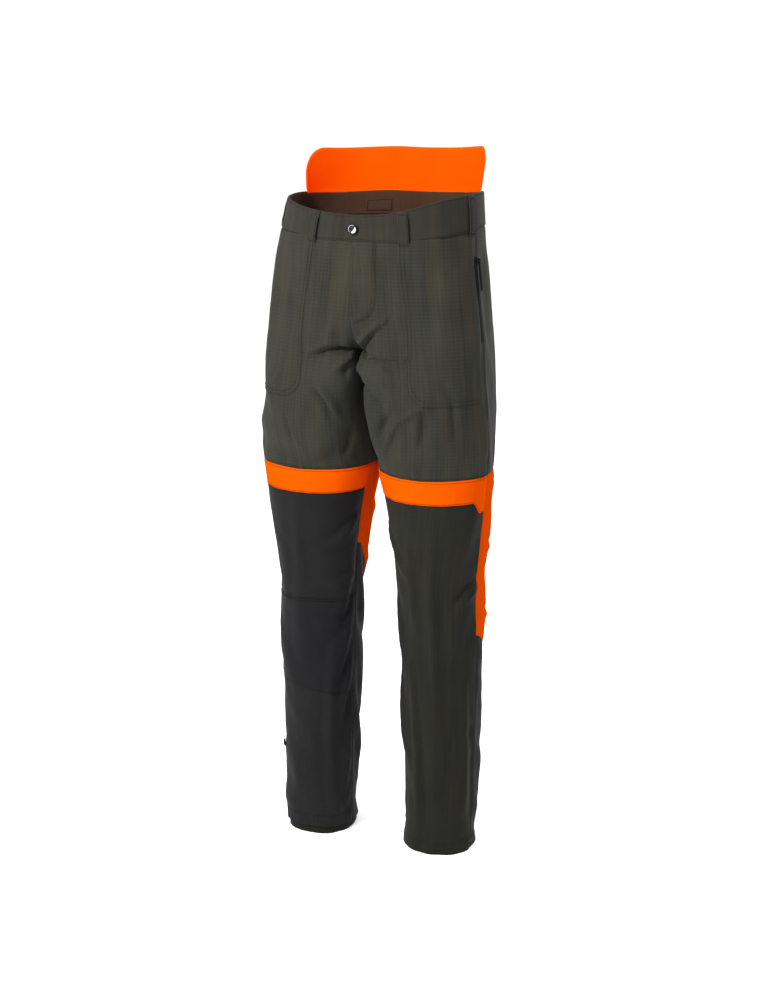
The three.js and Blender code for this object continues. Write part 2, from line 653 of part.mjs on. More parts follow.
function addHemStud() {
  const spot = bodyPoint(STUD.u, HEM_STUD_HEIGHT);
  const normal = bodyNormal(STUD.u, HEM_STUD_HEIGHT);
  const mirror = (vector) => new THREE.Vector3(-vector.x, vector.y, vector.z);
  const profile = [[0, 0], [STUD.radius, 0], [STUD.radius, 1.6], [5, STUD.depth], [0, STUD.depth]];
  const stud = new THREE.LatheGeometry(
    profile.map(([radius, depth]) => new THREE.Vector2(radius, depth)), 20,
  );
  const mesh = makeMesh('hem_stud_right', stud, COLOURS.black, { metalness: 0.6, roughness: 0.4 });
  mesh.position.copy(mirror(spot.addScaledVector(normal, CLOTH / 2 + 1)));
  mesh.quaternion.setFromUnitVectors(new THREE.Vector3(0, 1, 0), mirror(normal));
  trousers.add(mesh);
}

addSeatPanels();
addWaistband();
addBeltLoops();
addButton();
addFly();
addFrontPockets();
addSideZips();
addBackPocket();
addKidneyFlap();
addThighs();
addKnees();
addShins();
addCutPads();
addHemStud();

export default trousers;
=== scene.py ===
"""Looks for the chainsaw-protective trousers: cloth, folds, stitching, fastenings, light and camera."""
import math

import bmesh
import bpy
import numpy as np
from mathutils import Matrix, Vector


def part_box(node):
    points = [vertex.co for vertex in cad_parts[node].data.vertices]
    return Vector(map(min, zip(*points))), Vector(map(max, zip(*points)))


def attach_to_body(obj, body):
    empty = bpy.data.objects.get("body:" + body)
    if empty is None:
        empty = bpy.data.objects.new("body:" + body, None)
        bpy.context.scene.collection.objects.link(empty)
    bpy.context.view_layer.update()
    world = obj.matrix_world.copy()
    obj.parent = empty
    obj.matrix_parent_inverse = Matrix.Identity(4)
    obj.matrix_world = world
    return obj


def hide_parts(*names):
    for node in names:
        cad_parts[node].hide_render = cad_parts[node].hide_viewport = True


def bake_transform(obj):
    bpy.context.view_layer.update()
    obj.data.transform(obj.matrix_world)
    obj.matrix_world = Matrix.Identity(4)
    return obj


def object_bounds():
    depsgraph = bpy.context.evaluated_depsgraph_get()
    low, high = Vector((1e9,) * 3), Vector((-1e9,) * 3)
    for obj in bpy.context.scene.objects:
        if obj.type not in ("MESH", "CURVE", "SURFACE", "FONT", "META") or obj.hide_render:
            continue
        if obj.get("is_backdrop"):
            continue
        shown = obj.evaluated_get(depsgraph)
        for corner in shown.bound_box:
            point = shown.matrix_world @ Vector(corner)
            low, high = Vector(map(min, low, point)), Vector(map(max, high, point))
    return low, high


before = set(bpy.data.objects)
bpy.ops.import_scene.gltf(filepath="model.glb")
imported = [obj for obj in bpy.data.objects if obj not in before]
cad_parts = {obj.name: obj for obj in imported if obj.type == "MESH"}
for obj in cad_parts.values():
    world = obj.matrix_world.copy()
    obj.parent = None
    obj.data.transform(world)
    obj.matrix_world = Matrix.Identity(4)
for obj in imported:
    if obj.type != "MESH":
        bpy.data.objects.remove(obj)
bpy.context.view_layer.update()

# ------------------------------------------------------------------ camera
AZIMUTH = math.radians(23)
DISTANCE = 3.3
camera_data = bpy.data.cameras.new("camera")
camera_data.lens, camera_data.sensor_width = 74.95, 36
camera = bpy.data.objects.new("camera", camera_data)
bpy.context.scene.collection.objects.link(camera)
camera.location = (DISTANCE * math.sin(AZIMUTH), -DISTANCE * math.cos(AZIMUTH), 0.364)
AIM = Vector((0, 0, -0.512))
camera.rotation_euler = (AIM - camera.location).to_track_quat("-Z", "Y").to_euler()
bpy.context.scene.camera = camera
bpy.context.scene.view_settings.view_transform = "Standard"

# ------------------------------------------------------------------ the body the cloth follows
# Millimetres above the hem, as in the CAD part; panels turn them into metres at the end.
WAIST_TOP, FRONT_TOP_DIP, BACK_TOP_DIP = 1088, 29, 17
WAIST_SEAM, FRONT_SEAM_DIP = 1031, 14
CROTCH, CROTCH_CURVE, CENTRE_GAP = 838, 60, 0.6
BAND_TOP, BAND_BOTTOM, BAND_FLARE = 646, 606, 20
KNEE_SEAM, UNDER_HEM_DROP, POCKET_BOTTOM = 419, 12, 765
LEG = np.array([
    [0, 107, -18, 57, 61, 63], [148, 108, -18, 60, 64, 66], [358, 108, -20, 66, 70, 74],
    [473, 105, -22, 68, 73, 79], [538, 105, -22, 75, 80, 86], [588, 104, -23, 82, 86, 95],
    [648, 100, -25, 92, 94, 106], [708, 98, -27, 96, 98, 114], [768, 96, -28, 94, 101, 119],
    [838, 94, -28, 92, 103, 122]], float)
HIP = np.array([
    [838, 186, -28, 112, 138], [878, 182, -27, 112, 139], [928, 175, -24, 114, 137],
    [978, 168, -19, 116, 131], [1028, 162, -10, 116, 123], [1088, 155, 0, 118, 117]], float)
INSEAM, OUTSEAM, HIP_SIDE = -171, -10, -8


def lerp(a, b, t):
    return a + (b - a) * t


def smooth(x, low, high):
    t = np.clip((x - low) / (high - low), 0, 1)
    return t * t * (3 - 2 * t)


def section_at(table, z):
    """Catmull-Rom interpolation between the sections of a table, one column array per quantity."""
    heights = table[:, 0]
    z = np.clip(z, heights[0], heights[-1])
    last = len(table) - 1
    i = np.clip(np.searchsorted(heights, z, side="left") - 1, 0, last - 1)
    a, b = table[i], table[i + 1]
    before, after = table[np.maximum(i - 1, 0)], table[np.minimum(i + 2, last)]
    span = (b - a)[..., :1]
    t = (z[..., None] - a[..., :1]) / span
    slope_a = (b - before) / (b - before)[..., :1] * span
    slope_b = (after - a) / (after - a)[..., :1] * span
    t2, t3 = t * t, t * t * t
    value = ((2 * t3 - 3 * t2 + 1) * a + (t3 - 2 * t2 + t) * slope_a
             + (3 * t2 - 2 * t3) * b + (t3 - t2) * slope_b)
    return np.moveaxis(value[..., 1:], -1, 0)


def superellipse(angle, power):
    c, s = np.cos(angle), np.sin(angle)
    radius = (np.abs(c) ** power + np.abs(s) ** power) ** (-1 / power)
    return radius * c, radius * s


def leg_outline(u, z):
    cx, cy, half_width, forward, backward = section_at(LEG, z)
    angle = np.radians(np.where(u <= 0.5, lerp(INSEAM, OUTSEAM, u * 2),
                                lerp(OUTSEAM, INSEAM + 360, u * 2 - 1)))
    inner = np.where(np.sin(angle) < 0, 6.0, 2.8)
    power = np.where(np.cos(angle) < 0, lerp(2.2, inner, smooth(z, CROTCH - 200, CROTCH)), 2.2)
    x, y = superellipse(angle, power)
    return cx + half_width * x + CENTRE_GAP, cy + np.where(y < 0, forward, backward) * y


def hip_outline(u, z):
    half_width, cy, forward, backward = section_at(HIP, z)
    turn = np.where(u <= 0.5, lerp(-90, HIP_SIDE, u * 2), lerp(HIP_SIDE, 90, u * 2 - 1))
    x, y = superellipse(np.radians(turn), 2.3)
    return half_width * x, cy + np.where(y < 0, forward, backward) * y


# Round an upright axis the leg and the hip are each a radius; between FAIR_LOW and FAIR_HIGH one
# turns into the other.
FAIR_LOW, FAIR_HIGH, FAIR_STEP = 756, 920, 4
FAIR_TURN = np.radians(np.arange(-84.0, 85, 2))


def radius_table(outline, low, high):
    heights = np.arange(low, high + 1, FAIR_STEP)
    table = np.zeros((len(FAIR_TURN), len(heights)))
    u = np.linspace(0, 1, 700)
    for j, height in enumerate(heights):
        x, y = outline(u, np.full(u.shape, float(height)))
        turn, keep = np.arctan2(y + 28, x), x > 14
        order = np.argsort(turn[keep])
        table[:, j] = np.interp(FAIR_TURN, turn[keep][order], np.hypot(x, y + 28)[keep][order])
    return table


LEG_RADIUS, HIP_RADIUS = radius_table(leg_outline, CROTCH - 160, CROTCH), radius_table(hip_outline, CROTCH,
                                                                                       CROTCH + 160)


def radius_at(table, low, turn, z):
    """A radius between the rows of a table, carried on in a straight line past its ends."""
    across = np.clip((turn - FAIR_TURN[0]) / (FAIR_TURN[1] - FAIR_TURN[0]), 0, len(FAIR_TURN) - 1.001)
    i, level = across.astype(int), (z - low) / FAIR_STEP
    j = np.clip(level.astype(int), 0, table.shape[1] - 2)
    fx, fy = across - i, level - j
    return lerp(lerp(table[i, j], table[i + 1, j], fx), lerp(table[i, j + 1], table[i + 1, j + 1], fx), fy)


def fair_radius(turn, z):
    return lerp(radius_at(LEG_RADIUS, CROTCH - 160, turn, z), radius_at(HIP_RADIUS, CROTCH, turn, z),
                smooth(z, FAIR_LOW, FAIR_HIGH))


def body(u, z):
    """The cloth's surface on the wearer's left: u is 0 at the front centre and inseam, 0.5 at the side
    and 1 at the back."""
    u, z = np.broadcast_arrays(np.asarray(u, float), np.asarray(z, float))
    flip = np.where((u < 0) | (u > 1), -1.0, 1.0)
    u = np.where(u < 0, -u, np.where(u > 1, 2 - u, u))
    leg_x, leg_y = leg_outline(u, np.minimum(z, CROTCH))
    hip_x, hip_y = hip_outline(u, np.maximum(z, CROTCH))
    t = np.clip((CROTCH + CROTCH_CURVE - z) / CROTCH_CURVE, 0, 1)
    share = np.where(z <= CROTCH, 1, 1 - np.sqrt(1 - t * t))
    closing = np.exp(-((500 * np.minimum(u, 1 - u) / 16) ** 2)) * smooth(z, CROTCH - 70, CROTCH) * share
    x, y = lerp(hip_x, leg_x, share) - closing * 2.5, lerp(hip_y, leg_y, share) + 28
    own = np.maximum(np.hypot(x, y), 1)
    weight = smooth(x, 22, 66) * smooth(z, 700, 740) * (1 - smooth(z, 940, 976))
    scale = 1 + weight * (fair_radius(np.arctan2(y, x), z) / own - 1)
    return np.stack([flip * x * scale, y * scale - 28, z], -1)


def normal(u, z):
    u, z = np.broadcast_arrays(np.asarray(u, float), np.asarray(z, float))
    low, high = u - 0.002, u + 0.002
    low = np.where(z > CROTCH, low, np.clip(low, 0, 1))
    high = np.where(z > CROTCH, high, np.clip(high, 0, 1))
    n = np.cross(body(high, z) - body(low, z), body(u, z + 0.4) - body(u, z - 0.4))
    n /= np.maximum(np.linalg.norm(n, axis=-1, keepdims=True), 1e-9)
    points = body(u, z)
    x, y = np.abs(points[..., 0]), points[..., 1] + 28
    turn, radius = np.arctan2(y, x), np.maximum(np.hypot(x, y), 1)
    slope = (fair_radius(turn + 0.03, z) - fair_radius(turn - 0.03, z)) / 0.06 / radius
    rise = (fair_radius(turn, z + 4) - fair_radius(turn, z - 4)) / 8
    fair = np.stack([(x + slope * y) / radius * np.sign(points[..., 0] + 1e-9), (y - slope * x) / radius,
                     -rise], -1)
    fair /= np.linalg.norm(fair, axis=-1, keepdims=True)
    share = smooth(x, 26, 62) * smooth(z, 745, 775) * (1 - smooth(z, 915, 940))
    n = lerp(n, fair, share[..., None])
    return n / np.linalg.norm(n, axis=-1, keepdims=True)


def u_at_x(x, z):
    """The u of the front half's point that is x from the centre plane."""
    z = np.broadcast_to(np.asarray(z, float), np.shape(x))
    low, high = np.zeros(z.shape), np.full(z.shape, 0.5)
    for _ in range(26):
        middle = (low + high) / 2
        inside = body(middle, z)[..., 0] < x
        low, high = np.where(inside, middle, low), np.where(inside, high, middle)
    return low


def mm_per_u(u, z):
    return np.linalg.norm(body(u + 0.01, z) - body(u - 0.01, z), axis=-1) / 0.02


def waist_top(u):
    y = body(u, WAIST_TOP)[..., 1] / 118
    return WAIST_TOP - np.where(y < 0, FRONT_TOP_DIP * y ** 4, BACK_TOP_DIP * y ** 2)


def waist_seam(u):
    y = np.minimum(body(u, WAIST_SEAM)[..., 1] / 118, 0)
    return WAIST_SEAM - FRONT_SEAM_DIP * np.minimum(y * y, 1)


def band_bottom(u):
    return BAND_BOTTOM - BAND_FLARE * smooth(u, 0.435, 0.471)


def calf_edge(u):
    return np.where(u < 0.7, lerp(374, 285, smooth(u, 0.5, 0.7)), lerp(285, 508, smooth(u, 0.7, 1)))


def patch_bottom(u):
    return lerp(248, 273, smooth(u, 0, 0.5))


# ------------------------------------------------------------------ folds
# Folds, noise and weave are laid out in millimetres round the cloth from the side seam, and height.
HEIGHT_NODES = np.concatenate([np.arange(0, 836, 8.0),
                               CROTCH + CROTCH_CURVE * (1 - np.cos(np.linspace(0, math.pi / 2, 32))),
                               np.arange(902, 1094, 8.0)])
U_NODES = np.linspace(0, 1, 241)
_nodes = body(*np.meshgrid(U_NODES, HEIGHT_NODES, indexing="ij"))
_steps = np.linalg.norm(np.diff(_nodes, axis=0), axis=2)
ARC = np.concatenate([np.zeros((1, len(HEIGHT_NODES))), _steps.cumsum(0)])
ARC -= ARC[len(U_NODES) // 2]


def arc(u, z):
    """Distance round the cloth from the side seam, negative in front."""
    u, z = np.broadcast_arrays(np.asarray(u, float), np.asarray(z, float))
    inside = np.clip(u, 0, 1)
    x = inside * (len(U_NODES) - 1)
    i = np.minimum(x.astype(int), len(U_NODES) - 2)
    j = np.clip(np.searchsorted(HEIGHT_NODES, z) - 1, 0, len(HEIGHT_NODES) - 2)
    fx, fy = x - i, np.clip((z - HEIGHT_NODES[j]) / (HEIGHT_NODES[j + 1] - HEIGHT_NODES[j]), 0, 1)
    value = lerp(lerp(ARC[i, j], ARC[i + 1, j], fx), lerp(ARC[i, j + 1], ARC[i + 1, j + 1], fx), fy)
    return value + (u - inside) * 500


def u_at_arc(distance, z):
    """The u of the point that lies a distance round the cloth from the side seam."""
    low, high = np.zeros(np.shape(distance)), np.ones(np.shape(distance))
    for _ in range(24):
        middle = (low + high) / 2
        short = arc(middle, z) < distance
        low, high = np.where(short, middle, low), np.where(short, high, middle)
    return (low + high) / 2


STRAIGHT = 150


def u_of_column(column, z):
    """Columns 0 to 1 run straight down within STRAIGHT of the side seam.

    They close up beside the centre seam."""
    column, z = np.broadcast_arrays(np.asarray(column, float), np.asarray(z, float))
    share, back = np.abs(column * 2 - 1), column > 0.5
    edge = np.abs(arc(np.where(back, 1.0, 0.0), z))
    distance = np.where(share < 0.5, share * 2 * STRAIGHT, lerp(STRAIGHT, edge, share * 2 - 1))
    u = u_at_arc(np.where(back, distance, -distance), z)
    return np.where(share <= 0, 0.5, np.where(share >= 1, back * 1.0, u))


def column_of(u, z):
    distance = arc(u, z)
    back = distance > 0
    edge = np.abs(arc(np.where(back, 1.0, 0.0), z))
    far = np.abs(distance)
    share = np.where(far < STRAIGHT, far / STRAIGHT * 0.5, 0.5 + 0.5 * (far - STRAIGHT) / (edge - STRAIGHT))
    return 0.5 + 0.5 * np.where(back, 1, -1) * np.clip(share, 0, 1)


# Each fold: points (u, z) along it, half width, height (negative for a groove), and share of a groove
# beside it.
FOLDS = {
    "left": [
        ([(0.05, 842), (0.10, 838), (0.148, 835), (0.18, 830), (0.198, 814), (0.222, 794)], 6.5, -4.5, 0),
        ([(0.03, 832), (0.09, 820), (0.14, 812), (0.175, 800), (0.204, 774)], 9, 3.5, 0),
        ([(0.064, 800), (0.12, 790), (0.164, 766), (0.174, 748)], 6, -3.4, 0),
        ([(0.19, 752), (0.165, 728), (0.145, 706)], 9, -4.5, 0),
        ([(0.215, 746), (0.194, 722), (0.178, 704), (0.155, 682)], 5, 4.2, 0),
        ([(0.288, 758), (0.284, 734), (0.276, 700)], 5, -3.6, 0),
        ([(0.27, 752), (0.266, 730), (0.258, 700)], 5, 2.6, 0),
        ([(0.21, 742), (0.226, 744), (0.254, 756), (0.3, 770)], 7, 2.6, 0),
        ([(0.36, 800), (0.38, 760), (0.375, 700)], 10, -2.6, 0),
        ([(0.085, 893), (0.045, 872), (0.01, 850)], 5.5, 2.6, 0.9),
        ([(0.12, 905), (0.07, 880), (0.015, 862)], 6, 2.2, 0.6),
        ([(0.30, 560), (0.285, 400), (0.29, 220), (0.30, 30)], 15, 3.2, 0.5),
        ([(0.20, 520), (0.19, 440), (0.205, 380)], 10, 2.4, 0.6),
        ([(0.16, 330), (0.185, 180), (0.19, 20)], 10, 2.6, 0.6),
        ([(0.42, 300), (0.44, 180), (0.43, 40)], 12, 2.0, 0.6),
        ([(0.06, 560), (0.13, 500), (0.2, 470)], 10, 2.0, 0.5),
        ([(0.40, 430), (0.46, 452), (0.5, 458)], 11, 3.0, 0.6),
    ],
    "right": [
        ([(0.03, 848), (0.074, 850), (0.12, 846), (0.176, 838), (0.20, 833)], 5.5, -4.2, 0),
        ([(0.03, 857), (0.064, 859), (0.104, 856), (0.17, 844), (0.22, 832)], 8, 3.0, 0),
        ([(0.05, 843), (0.10, 836), (0.125, 826), (0.144, 814)], 5.5, 3.4, 0),
        ([(0.06, 838), (0.104, 829), (0.118, 818), (0.12, 804)], 5, -4.4, 0),
        ([(0.195, 782), (0.17, 762), (0.158, 748), (0.146, 730)], 5, -4.4, 0),
        ([(0.172, 788), (0.150, 764), (0.138, 748), (0.128, 734)], 7, 3.2, 0),
        ([(0.295, 736), (0.278, 712), (0.26, 688)], 5.5, -3.6, 0),
        ([(0.28, 730), (0.262, 706), (0.245, 682)], 6.5, 2.4, 0),
        ([(0.09, 718), (0.1, 696), (0.11, 672)], 6, -3.6, 0),
        ([(0.33, 796), (0.35, 770), (0.35, 745)], 9, 2.4, 0.6),
        ([(0.03, 560), (0.11, 520), (0.2, 505)], 10, 2.0, 0.5),
        ([(0.02, 350), (0.1, 376), (0.2, 380)], 10, 1.8, 0.6),
        ([(0.12, 330), (0.13, 180), (0.11, 30)], 14, 2.2, 0.5),
        ([(0.27, 600), (0.26, 480), (0.27, 300)], 18, 2.0, 0.4),
        ([(0.03, 460), (0.1, 448), (0.17, 452)], 9, 2.2, 0.6),
    ],
    "back": [
        ([(1.0, 838), (0.93, 806), (0.84, 786)], 10, 4.5, 0.8),
        ([(1.0, 815), (0.94, 766), (0.87, 730)], 11, 4.0, 0.8),
        ([(0.98, 870), (0.9, 850), (0.8, 850)], 11, 3.0, 0.6),
        ([(0.97, 740), (0.92, 700), (0.88, 665)], 10, 3.0, 0.6),
        ([(0.72, 800), (0.7, 730), (0.72, 660)], 16, 2.6, 0.5),
        ([(0.58, 620), (0.7, 600), (0.82, 612)], 11, 3.2, 0.8),
        ([(0.66, 560), (0.8, 548), (0.97, 566)], 11, 4.2, 0.8),
        ([(0.54, 520), (0.68, 502), (0.84, 512)], 12, 4.4, 0.9),
        ([(0.62, 470), (0.76, 452), (0.92, 470)], 11, 4.2, 0.9),
        ([(0.53, 402), (0.64, 396), (0.78, 412)], 12, 4.2, 0.8),
        ([(0.56, 340), (0.7, 330), (0.86, 350)], 12, 2.4, 0.6),
        ([(0.74, 260), (0.72, 150), (0.74, 20)], 16, 2.6, 0.4),
    ],
}


def fold_height(x, z, points, half_width, height, groove):
    """A ridge along a line of points, with a groove beside it, tapered towards both ends."""
    line = np.array(points, float)
    steps = np.linspace(0, 1, 13)
    share = np.linspace(0, 1, len(line))
    line_z = np.interp(steps, share, line[:, 1])
    line_x = np.interp(steps, share, arc(line[:, 0], line[:, 1]))
    best = np.full(x.shape, 1e9)
    signed, along = np.zeros(x.shape), np.zeros(x.shape)
    for k in range(len(steps) - 1):
        ax, az = x - line_x[k], z - line_z[k]
        bx, bz = line_x[k + 1] - line_x[k], line_z[k + 1] - line_z[k]
        t = np.clip((ax * bx + az * bz) / (bx * bx + bz * bz), 0, 1)
        distance = np.hypot(ax - t * bx, az - t * bz)
        closer = distance < best
        best = np.where(closer, distance, best)
        signed = np.where(closer, np.sign(ax * bz - az * bx) * distance, signed)
        along = np.where(closer, lerp(steps[k], steps[k + 1], t), along)
    taper = np.sin(np.pi * np.clip(along * 0.84 + 0.1, 0, 1)) ** 0.8
    width = half_width * (0.6 + 0.45 * along)
    ridge = np.exp(1.2 - 2 * np.sqrt((signed / width) ** 2 + 0.36))
    valley = np.exp(-(((signed + 1.4 * width) / (0.7 * width)) ** 2))
    return height * taper * (ridge - groove * valley)


def waves(x, z, seed, count, across, along, height):
    """Soft random undulation, the sum of a few long waves across and up the cloth."""
    draw = np.random.RandomState(seed)
    total = np.zeros(np.shape(x))
    for _ in range(count):
        wave_x, wave_z = across * draw.uniform(0.7, 1.6), along * draw.uniform(0.7, 1.6)
        slant, phase = draw.uniform(-0.35, 0.35), draw.uniform(0, 2 * np.pi)
        bend = 1.5 * np.sin(2 * np.pi * z / wave_z + phase)
        total += np.sin(2 * np.pi * ((x + slant * z) / wave_x) + phase + bend)
    return height * total / math.sqrt(count)


SIMULATED = {}
FOLD_SCALE = 2.1


def displacement(side, u, z):
    """How far the cloth stands off its smooth body, in millimetres, at a height on one side."""
    u, z = np.broadcast_arrays(np.asarray(u, float), np.asarray(z, float))
    x = arc(u, z)
    total = waves(x, z, 3 if side == "left" else 8, 5, 95, 420, 0.8)
    total += waves(x, z, 5 if side == "left" else 11, 5, 34, 150, 0.3)
    for fold in FOLDS[side]:
        total += FOLD_SCALE * fold_height(x, z, *fold)
    for fold in FOLDS["back"]:
        total += 0.8 * fold_height(x, z, *fold)
    if side in SIMULATED:
        total += sample_grid(SIMULATED[side], column_of(u, z), z)
    calm = smooth(-z, FRONT_SEAM_DIP - WAIST_SEAM, 70 - WAIST_SEAM)
    to_seam = np.minimum(x - arc(0 * u, z), arc(0 * u + 1, z) - x)
    near_band = 1 - 0.75 * np.exp(-(((z - 626) / 30) ** 2)) * (u < 0.5)
    return total * calm * smooth(to_seam, 0, 16) * near_band


def sample_grid(grid, u, z):
    columns, rows = grid.shape
    x = np.clip(u, 0, 1) * (columns - 1)
    y = np.clip(z / WAIST_SEAM, 0, 1) * (rows - 1)
    i, j = np.minimum(x.astype(int), columns - 2), np.minimum(y.astype(int), rows - 2)
    fx, fy = x - i, y - j
    low = lerp(grid[i, j], grid[i + 1, j], fx)
    high = lerp(grid[i, j + 1], grid[i + 1, j + 1], fx)
    return lerp(low, high, fy)


def relax(side, columns=76, rows=136, frames=18, slack=0.025):
    """Lets each trouser leg, cut a little too big and sewn at its seams, buckle as cloth.

    Keeps how far it moved."""
    column, z = np.meshgrid(np.linspace(0, 1, columns), np.linspace(0, WAIST_SEAM, rows), indexing="ij")
    u = u_of_column(column, z)
    out = normal(u, z)
    noise = np.random.RandomState(4 if side == "left" else 9).normal(0, 0.5, u.shape)
    start = body(u, z) + out * (displacement(side, u, z) + noise)[..., None]
    index = np.arange(u.size).reshape(u.shape)
    quads = np.stack([index[:-1, :-1], index[1:, :-1], index[1:, 1:], index[:-1, 1:]], -1).reshape(-1, 4)
    mesh = bpy.data.meshes.new("cloth_" + side)
    mesh.from_pydata((start.reshape(-1, 3) / 1000).tolist(), [], quads.tolist())
    cloth = bpy.data.objects.new("cloth_" + side, mesh)
    bpy.context.scene.collection.objects.link(cloth)
    hold = np.where((u <= 0) | (u >= 1) | (z <= 0) | (z >= WAIST_SEAM), 1.0, 0.012)
    hold = np.maximum(hold, 0.35 * np.exp(-(((z - 626) / 16) ** 2)) * (u < 0.5))
    hold = np.maximum(hold, 0.3 * (np.abs(column - 0.5) < 0.008))
    group = cloth.vertex_groups.new(name="pin")
    for i, weight in enumerate(hold.ravel().tolist()):
        group.add([i], weight, "REPLACE")
    modifier = cloth.modifiers.new("cloth", "CLOTH")
    made = modifier.settings
    made.quality, made.mass, made.air_damping = 5, 0.25, 2
    made.tension_stiffness, made.compression_stiffness, made.shear_stiffness = 12, 12, 4
    made.bending_stiffness, made.shrink_min, made.shrink_max = 0.15, -slack, -slack
    made.vertex_group_mass, made.pin_stiffness = "pin", 1
    made.effector_weights.gravity = 0.15
    modifier.collision_settings.use_collision = False
    modifier.point_cache.frame_start, modifier.point_cache.frame_end = 1, frames
    scene = bpy.context.scene
    for step in range(1, frames + 1):
        scene.frame_set(step)
    posed = cloth.evaluated_get(bpy.context.evaluated_depsgraph_get())
    moved = np.zeros(u.size * 3)
    posed.data.vertices.foreach_get("co", moved)
    move = ((moved.reshape(*u.shape, 3) * 1000 - start) * out).sum(-1)
    scene.frame_set(1)
    bpy.data.objects.remove(cloth)
    for _ in range(2):
        padded = np.pad(move, 1, mode="edge")
        beside = padded[:-2, 1:-1] + padded[2:, 1:-1] + padded[1:-1, :-2] + padded[1:-1, 2:]
        move = (padded[1:-1, 1:-1] * 2 + beside) / 6
    return 6 * np.tanh(move / 6)


SIMULATED.update({side: relax(side) for side in ("left", "right")})


# ------------------------------------------------------------------ materials
def linear(*rgb):
    return tuple(((c / 255) / 12.92 if c <= 10 else ((c / 255 + 0.055) / 1.055) ** 2.4) for c in rgb) + (1,)


def new_material(name):
    material = bpy.data.materials.new(name)
    material.use_nodes = True
    nodes, links = material.node_tree.nodes, material.node_tree.links
    return material, nodes, links, nodes["Principled BSDF"]


def math_node(nodes, links, operation, a, b):
    node = nodes.new("ShaderNodeMath")
    node.operation = operation
    for socket, value in ((node.inputs[0], a), (node.inputs[1], b)):
        if isinstance(value, (int, float)):
            socket.default_value = value
        else:
            links.new(value, socket)
    return node.outputs[0]


